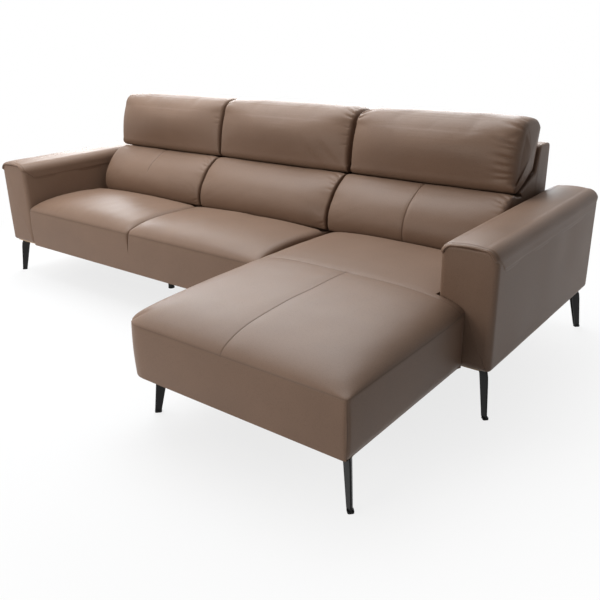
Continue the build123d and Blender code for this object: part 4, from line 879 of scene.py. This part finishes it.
def chaise_cover():
    """Long seat, cut back behind the arm's front, with a centre seam and a cross seam on its top."""
    start, end, seed = X_JOIN + 0.0006, X_CHAISE_RIGHT, 261
    turn_x, turn_y = X_RIGHT_ARM - 0.0012, Y_ARM - 0.0012
    cross_y = -0.200
    xs = graded(start, end, extra=(turn_x,))
    ys = graded(Y_FRONT, SEAT_REAR, extra=(turn_y, cross_y - 0.003, cross_y, cross_y + 0.003))
    centre_x = [0.824 + 0.0015 * i for i in range(17)]
    xs = sorted([v for v in xs if not 0.821 < v < 0.851] + centre_x)
    piece = cover_shell("chaise_seat", xs, ys, COVER_ROWS, (turn_x, turn_y))
    tags = read_points(piece)
    x, y, row = tags[:, 0].copy(), tags[:, 1].copy(), np.rint(-tags[:, 2]).astype(int)
    behind = y > turn_y + 1e-6
    right_edge = np.where(behind, turn_x, end)
    side_x = np.where(x < start + 1e-6, -1.0, np.where(x > right_edge - 1e-6, 1.0, 0.0))
    side_y = np.where(y < Y_FRONT + 1e-6, -1.0, np.where(y > SEAT_REAR - 1e-6, 1.0, 0.0))
    side_y = np.where((np.abs(y - turn_y) < 1e-6) & (x > turn_x - 1e-6), 1.0, side_y)
    corner = (np.abs(x - turn_x) < 1e-6) & (np.abs(y - turn_y) < 1e-6)
    side_x = np.where(corner, 1.0, side_x)
    drop, inward = border_rows(row)
    left_gap = x - start
    right_gap = end - x
    arm_gap = np.where(behind, np.maximum(turn_x - x, 0.0), np.hypot(np.maximum(turn_x - x, 0), turn_y - y))
    front_gap = y - Y_FRONT
    fade = ease((y + 0.30) / 0.35)
    sides_right = shoulder(right_gap, 0.070) * (1 - fade) + fade * (0.62 + 0.38 * shoulder(arm_gap, 0.12))
    rise = 0.078 * shoulder(front_gap, 0.085) * shoulder(left_gap, 0.050) * sides_right
    rise *= 1.0 - 0.20 * ease((y - 0.0) / 0.30)
    hidden = ease((y - (Y_LUMBAR - 0.016)) / 0.03)
    top_z = Z_SEAM + rise
    top_z = top_z * (1 - hidden) + np.minimum(top_z, Z_LEDGE - 0.0035) * hidden
    flat = np.stack([x, y, np.zeros_like(x)], axis=1)
    inner = ease(front_gap / 0.06) * ease(left_gap / 0.06) * ease(right_gap / 0.06)
    top_z += (undulation(flat, seed, 0.3) * 0.0026 + undulation(flat, seed + 9, 0.1) * 0.0008) * inner
    centre_gap = np.abs(x - 0.836)
    before = y < cross_y + 0.001
    centre_line = crease(centre_gap, 0.0022) * before
    cross_gap = np.abs(y - cross_y)
    cross_line = crease(cross_gap, 0.0022)
    top_z -= 0.0016 * centre_line + 0.0022 * crease(centre_gap, 0.022) * before * ease(front_gap / 0.05)
    top_z -= 0.0012 * cross_line + 0.0018 * crease(cross_gap, 0.02) * inner
    edge_gap = np.minimum(np.minimum(front_gap, left_gap), np.where(behind, 1.0, right_gap))
    top_z -= 0.0012 * crease(edge_gap, 0.0020)
    share = np.clip(drop / BORDER_HEIGHT, 0, 1)
    z = np.where(row == 0, top_z, Z_SEAM - drop)
    wall = (row > 0) & (behind | corner) & (side_x > 0)
    z += np.where(wall, (top_z - Z_SEAM) * np.exp(-drop / 0.03), 0.0)
    notch_wall = (row > 0) & (np.abs(tags[:, 1] - turn_y) < 1e-6)
    groove = 0.0024 * np.exp(-drop / 0.0022) * (row > 0)
    belly_front = 0.004 * np.sin(np.pi * share) - groove
    tuck = ease((share - 0.42) / 0.58)
    belly_left = 0.006 * (np.sin(np.pi * np.clip(share / 0.62, 0, 1)) - 1.0) - 0.044 * tuck**2.4
    belly_right = 0.003 * np.sin(np.pi * share) - groove - 0.006 * ease((share - 0.85) / 0.15) ** 2
    x, y = rounded_plan(x, y, start, Y_FRONT, -1, -1, np.full_like(x, 0.080))
    x, y = rounded_plan(x, y, end, Y_FRONT, 1, -1, np.full_like(x, 0.014))
    outer_right = (side_x > 0) & ~behind & ~corner & ~notch_wall
    x = np.where((side_x < 0) & (row > 0), x - belly_left + inward, x)
    x = np.where((side_x < 0) & (row == 0), x + 0.006, x)
    x = np.where(outer_right & (row > 0), x + belly_right - inward, x)
    y = np.where((side_y < 0) & (row > 0), y - belly_front + inward, y)
    world = np.stack([x, y, z], axis=1)
    write_points(piece, world)
    seam_top = np.maximum(0.8 * crease(edge_gap, 0.0012), 0.75 * centre_line)
    seam_top = np.maximum(seam_top, 0.35 * cross_line * ease(left_gap / 0.03))
    outside = (side_y < 0) | (side_x < 0) | outer_right
    seam_wall = 0.8 * np.exp(-drop / 0.0010) * outside
    corner_seam = np.where((side_x > 0) & (side_y < 0) & (row > 0), 0.8, 0.0)
    write_seam(piece, np.where(row == 0, seam_top, np.maximum(seam_wall, corner_seam)))
    return finish_piece(piece, ("chaise_seat_cushion",), sharp=COVER_EDGE)


chaise_cover()


# Arms: padded covers, rounded along every edge
def rounded_rectangle(low_x, high_x, low_z, high_z, radii):
    """Closed outline with its own radius at each corner: low-low, high-low, high-high, low-high."""
    out = []
    corners = [
        (low_x, low_z, 1, 1, math.pi),
        (high_x, low_z, -1, 1, 1.5 * math.pi),
        (high_x, high_z, -1, -1, 0.0),
        (low_x, high_z, 1, -1, 0.5 * math.pi),
    ]
    for (cx, cz, sx, sz, angle), radius in zip(corners, radii):
        for i in range(9):
            turn = angle + 0.5 * math.pi * i / 8
            round_x, round_z = radius * math.cos(turn), radius * math.sin(turn)
            out.append((cx + sx * radius + round_x, cz + sz * radius + round_z))
    return out


def padded_box(name, node, outline, start, end, radius, axis, seed, wave, seam_strength=0.0, rear=None):
    """Upholstered box along X or Y: an outline carried from end to end with rounded end edges."""
    count = 260
    points, normal, _ = section(outline, count, 2)
    stations = Stations(start, end, 0.003, first=0.0012, growth=1.25, largest=0.02)
    piece = ring_body(name, stations.count, count)
    tags = np.rint(read_points(piece)).astype(int)
    station, place = tags[:, 0], tags[:, 1] % count
    centre = 0.5 * (points.min(axis=0) + points.max(axis=0))
    radii = np.full((stations.count, count), radius)
    if rear is not None:
        downward = np.clip(-normal[:, 1], 0, 1) ** 2
        radii[stations.side > 0] += (rear - radius) * downward[None, :]
        upward = np.clip(normal[:, 1], 0, 1) ** 2
        radii += (0.007 - radius) * upward[None, :]
    pull = end_round(stations.depth[:, None], radii)
    ring = points[None, :, :] - normal[None, :, :] * pull[:, :, None]
    ring = centre + (ring - centre) * stations.scale[:, None, None]
    world = np.zeros((len(tags), 3))
    other = (1, 2) if axis == 0 else (0, 2)
    world[:, axis] = stations.place[station]
    world[:, other[0]] = ring[station, place, 0]
    world[:, other[1]] = ring[station, place, 1]
    poles = stations.scale[station] == 0.0
    world[poles, other[0]] = centre[0]
    world[poles, other[1]] = centre[1]
    direction = np.zeros((len(tags), 3))
    direction[:, other[0]] = normal[place, 0]
    direction[:, other[1]] = normal[place, 1]
    world += direction * (undulation(world, seed, 0.25) * wave * stations.scale[station])[:, None]
    write_points(piece, world)
    seam = seam_strength * np.exp(-(((stations.depth - radius) / 0.0018) ** 2)) * (stations.scale > 0.99)
    write_seam(piece, seam[station])
    return finish_piece(piece, (node,))


ARM_INSET = 0.003
UNDER_PAD = 0.011
ARM_SHOULDERS = (0.044, 0.044)
ARMS = {"left": (X_LEFT_OUT, X_LEFT_ARM, -1), "right": (X_RIGHT_ARM, X_RIGHT_OUT, 1)}
for side, (low_x, high_x, outward) in ARMS.items():
    low_radii = (0.014, 0.010) if outward < 0 else (0.010, 0.014)
    outline = rounded_rectangle(
        low_x + ARM_INSET, high_x - ARM_INSET, Z_BASE, Z_ARM_TOP - UNDER_PAD, (*low_radii, *ARM_SHOULDERS)
    )
    padded_box(
        side + "_arm", side + "_arm_cover", outline, Y_ARM, Y_REAR, 0.022,
        axis=1, seed=301 + outward, wave=0.0012, rear=0.020,
    )


def arm_pad(side, low_x, high_x, seed):
    """Saddle pad: one quilted sheet over the arm, its flaps cut back at the tips."""
    middle = 0.5 * (low_x + high_x)
    half = 0.5 * (high_x - low_x) - 0.0006
    top = Z_ARM_TOP + 0.004
    low = top - 0.093
    edge_z, brow_x, brow_z = top - 0.054, half - 0.048, top - 0.003
    over = [(middle + half, low), (middle + half, edge_z)]
    over += arc((middle + half, edge_z), (middle + half - 0.012, top - 0.017), (middle + brow_x, brow_z), 18)
    over += arc((middle + brow_x, brow_z), (middle, top + 0.001), (middle - brow_x, brow_z), 30)
    over += arc((middle - brow_x, brow_z), (middle - half + 0.012, top - 0.017), (middle - half, edge_z), 18)
    over += [(middle - half, edge_z), (middle - half, low)]
    over = np.array(over)
    run = np.concatenate([[0], np.cumsum(np.linalg.norm(np.diff(over, axis=0), axis=1))])
    bm = bmesh.new()
    across, length = 84, 150
    bmesh.ops.create_grid(bm, x_segments=across, y_segments=length, size=1.0)
    piece = as_object(bm, side + "_arm_rest_pad")
    tags = read_points(piece)
    u = (tags[:, 0] + 1) / 2 * run[-1]
    v = (tags[:, 1] + 1) / 2
    v = v - 0.16 * np.sin(2 * np.pi * v) / (2 * np.pi) * 4
    x = np.interp(u, run, over[:, 0])
    z = np.interp(u, run, over[:, 1])
    flap = np.clip((top - 0.033 - z) / 0.060, 0, 1)
    setback = 0.056 * flap**0.85
    setback += 0.014 * ease((flap - 0.82) / 0.18)
    y0 = Y_ARM - 0.003 + setback
    y1 = Y_REAR - setback
    y = y0 + (y1 - y0) * v
    end_gap = np.minimum(y - y0, y1 - y)
    hem_gap = np.minimum(u, run[-1] - u)
    edge = np.minimum(end_gap, hem_gap)
    nx = np.where(z < top - 0.06, np.sign(x - middle), (x - middle) / half * 0.8)
    nz = np.sqrt(np.clip(1 - nx**2, 0, 1))
    puff = -0.0045 * np.exp(-edge / 0.006) - 0.0022 * crease(edge - 0.011, 0.0022)
    puff += 0.0016 * undulation(np.stack([x, y, z], axis=1), seed, 0.2)
    x = x + nx * np.minimum(puff, 0.0006) - nx * end_round(end_gap + 0.003, 0.021)
    z = z + nz * puff - 0.004 * np.exp(-end_gap / 0.02) * (nz > 0.5)
    write_points(piece, np.stack([x, y, z], axis=1))
    write_seam(piece, 0.55 * crease(edge - 0.011, 0.0016))
    finish_piece(piece, (side + "_arm_pad",))
    shell = piece.modifiers.new("pad_thickness", "SOLIDIFY")
    shell.thickness = 0.0070
    shell.offset = -1.0
    shell.use_even_offset = False
    soften = piece.modifiers.new("hem_round", "BEVEL")
    soften.width = 0.003
    soften.segments = 3
    soften.limit_method = "ANGLE"
    soften.angle_limit = math.radians(50)
    return piece


for side, (low_x, high_x, outward) in ARMS.items():
    arm_pad(side, low_x, high_x, 330 + outward)


# Back covers
def back_outline():
    top = Z_BACK_TOP + 0.006
    front_top = back_front(top)
    out = [(Y_BACK, Z_BASE), (Y_BACK, top - 0.016)]
    out += arc((Y_BACK, top - 0.016), (Y_BACK - 0.0047, top - 0.0047), (Y_BACK - 0.016, top), 8)
    brow = (front_top - 0.004, top - 0.016)
    out += arc((front_top + 0.018, top), (front_top + 0.004, top - 0.003), brow, 8)
    lip = Z_HINGE + 0.018
    out += [brow, (back_front(lip), lip)]
    shelf = Z_LUMBAR_TOP + 0.003
    out += [(0.546, 0.6295), (0.518, 0.6195), (0.514, shelf), (back_front(shelf) + 0.004, shelf)]
    out += [(back_front(0.30) + 0.012, 0.30), (Y_BACK - 0.09, Z_BASE)]
    return out


BACKS = {
    "sofa": (X_LEFT_ARM + BACK_SIDE_INSET, X_JOIN - 0.0005),
    "chaise": (X_JOIN + 0.0005, X_RIGHT_ARM - 0.003),
}
for index, (part, (start, end)) in enumerate(BACKS.items()):
    padded_box(
        part + "_outer_back", part + "_back_cover", back_outline(), start, end, 0.008,
        axis=0, seed=401 + index, wave=0.0010, seam_strength=0.5,
    )


# Floor, light and camera
def seen_rays(tree):
    """One for rays that show the surround: from the camera, off a mirror or through glass."""
    paths = tree.nodes.new("ShaderNodeLightPath")
    rays = paths.outputs
    mirrored = math_node(tree, "MAXIMUM", rays["Is Glossy Ray"], rays["Is Transmission Ray"])
    return math_node(tree, "MAXIMUM", rays["Is Camera Ray"], mirrored)


def pale_floor():
    """Floor that keeps the shadow under the sofa and fades to white around it."""
    bm = bmesh.new()
    bmesh.ops.create_grid(bm, x_segments=1, y_segments=1, size=14.0)
    floor = as_object(bm, "studio_floor")
    material, tree, shader = new_material("pale_floor")
    shader.inputs["Base Color"].default_value = (0.78, 0.78, 0.78, 1.0)
    shader.inputs["Roughness"].default_value = 0.9
    shader.inputs["Specular IOR Level"].default_value = 0.1
    glow = tree.nodes.new("ShaderNodeEmission")
    glow.inputs["Color"].default_value = (1.0, 1.0, 1.0, 1.0)
    glow.inputs["Strength"].default_value = 1.0
    place = tree.nodes.new("ShaderNodeTexCoord")
    reach = tree.nodes.new("ShaderNodeVectorMath")
    reach.operation = "LENGTH"
    tree.links.new(place.outputs["Object"], reach.inputs[0])
    fade = tree.nodes.new("ShaderNodeMapRange")
    fade.interpolation_type = "SMOOTHSTEP"
    fade.inputs["From Min"].default_value = 1.0
    fade.inputs["From Max"].default_value = 2.4
    fade.inputs["To Min"].default_value = 0.78
    fade.inputs["To Max"].default_value = 1.0
    tree.links.new(reach.outputs["Value"], fade.inputs["Value"])
    share = math_node(tree, "MULTIPLY", fade.outputs["Result"], seen_rays(tree))
    mix = tree.nodes.new("ShaderNodeMixShader")
    tree.links.new(share, mix.inputs[0])
    tree.links.new(shader.outputs[0], mix.inputs[1])
    tree.links.new(glow.outputs[0], mix.inputs[2])
    tree.links.new(mix.outputs[0], tree.nodes["Material Output"].inputs["Surface"])
    floor.data.materials.append(material)


def studio_world():
    """Faint even light, and white wherever the surround is seen."""
    world = bpy.data.worlds.new("studio_world")
    bpy.context.scene.world = world
    world.use_nodes = True
    tree = world.node_tree
    sky = tree.nodes["Background"]
    sky.inputs["Color"].default_value = (1.0, 1.0, 1.0, 1.0)
    sky.inputs["Strength"].default_value = 0.10
    white = tree.nodes.new("ShaderNodeBackground")
    white.inputs["Color"].default_value = (1.0, 1.0, 1.0, 1.0)
    white.inputs["Strength"].default_value = 1.0
    chooser = tree.nodes.new("ShaderNodeMixShader")
    tree.links.new(seen_rays(tree), chooser.inputs[0])
    tree.links.new(sky.outputs[0], chooser.inputs[1])
    tree.links.new(white.outputs[0], chooser.inputs[2])
    tree.links.new(chooser.outputs[0], tree.nodes["World Output"].inputs["Surface"])


# Daylight from above and behind, warmer room light from the front
COOL = (0.93, 0.97, 1.0)
WARM = (1.0, 0.93, 0.86)
NEUTRAL = (1.0, 1.0, 1.0)


def softbox(name, place, target, width, height, power, colour):
    lamp = bpy.data.lights.new(name, "AREA")
    lamp.shape = "RECTANGLE"
    lamp.size = width
    lamp.size_y = height
    lamp.energy = power
    lamp.color = colour
    holder = bpy.data.objects.new(name, lamp)
    bpy.context.scene.collection.objects.link(holder)
    holder.location = place
    holder.rotation_euler = (Vector(target) - Vector(place)).to_track_quat("-Z", "Y").to_euler()


def photo_camera(place, yaw, pitch, roll):
    """Camera that stands where the photograph was taken from."""
    ahead = Vector((-math.sin(yaw) * math.cos(pitch), math.cos(yaw) * math.cos(pitch), -math.sin(pitch)))
    level = Vector((math.cos(yaw), math.sin(yaw), 0.0))
    upright = level.cross(ahead)
    right = level * math.cos(roll) + upright * math.sin(roll)
    up = upright * math.cos(roll) - level * math.sin(roll)
    lens = bpy.data.cameras.new("photo_camera")
    lens.sensor_width = 36.0
    lens.sensor_fit = "HORIZONTAL"
    lens.lens = 42.37
    lens.shift_x = -0.00285
    lens.shift_y = -0.0017
    camera = bpy.data.objects.new("photo_camera", lens)
    bpy.context.scene.collection.objects.link(camera)
    turn = Matrix((right, up, -ahead)).transposed()
    camera.matrix_world = Matrix.Translation(place) @ turn.to_4x4()
    bpy.context.scene.camera = camera


pale_floor()
studio_world()
softbox("ceiling_panel", (-0.9, 0.6, 3.4), (-0.4, 0.1, 0.3), 4.0, 2.4, 182, COOL)
softbox("rear_panel", (-2.5, 3.6, 1.9), (0.1, 0.0, 0.4), 5.0, 2.6, 290, COOL)
softbox("front_panel", (-0.5, -4.4, 1.6), (0.3, 0.0, 0.4), 2.6, 2.0, 74, WARM)
softbox("window_panel", (-2.6, -2.2, 2.9), (0.1, 0.2, 0.6), 2.0, 1.6, 34, NEUTRAL)
photo_camera((2.1555, -2.1482, 1.2620), math.radians(37.95), math.radians(21.49), math.radians(-1.1))
bpy.context.scene.view_settings.view_transform = "Standard"
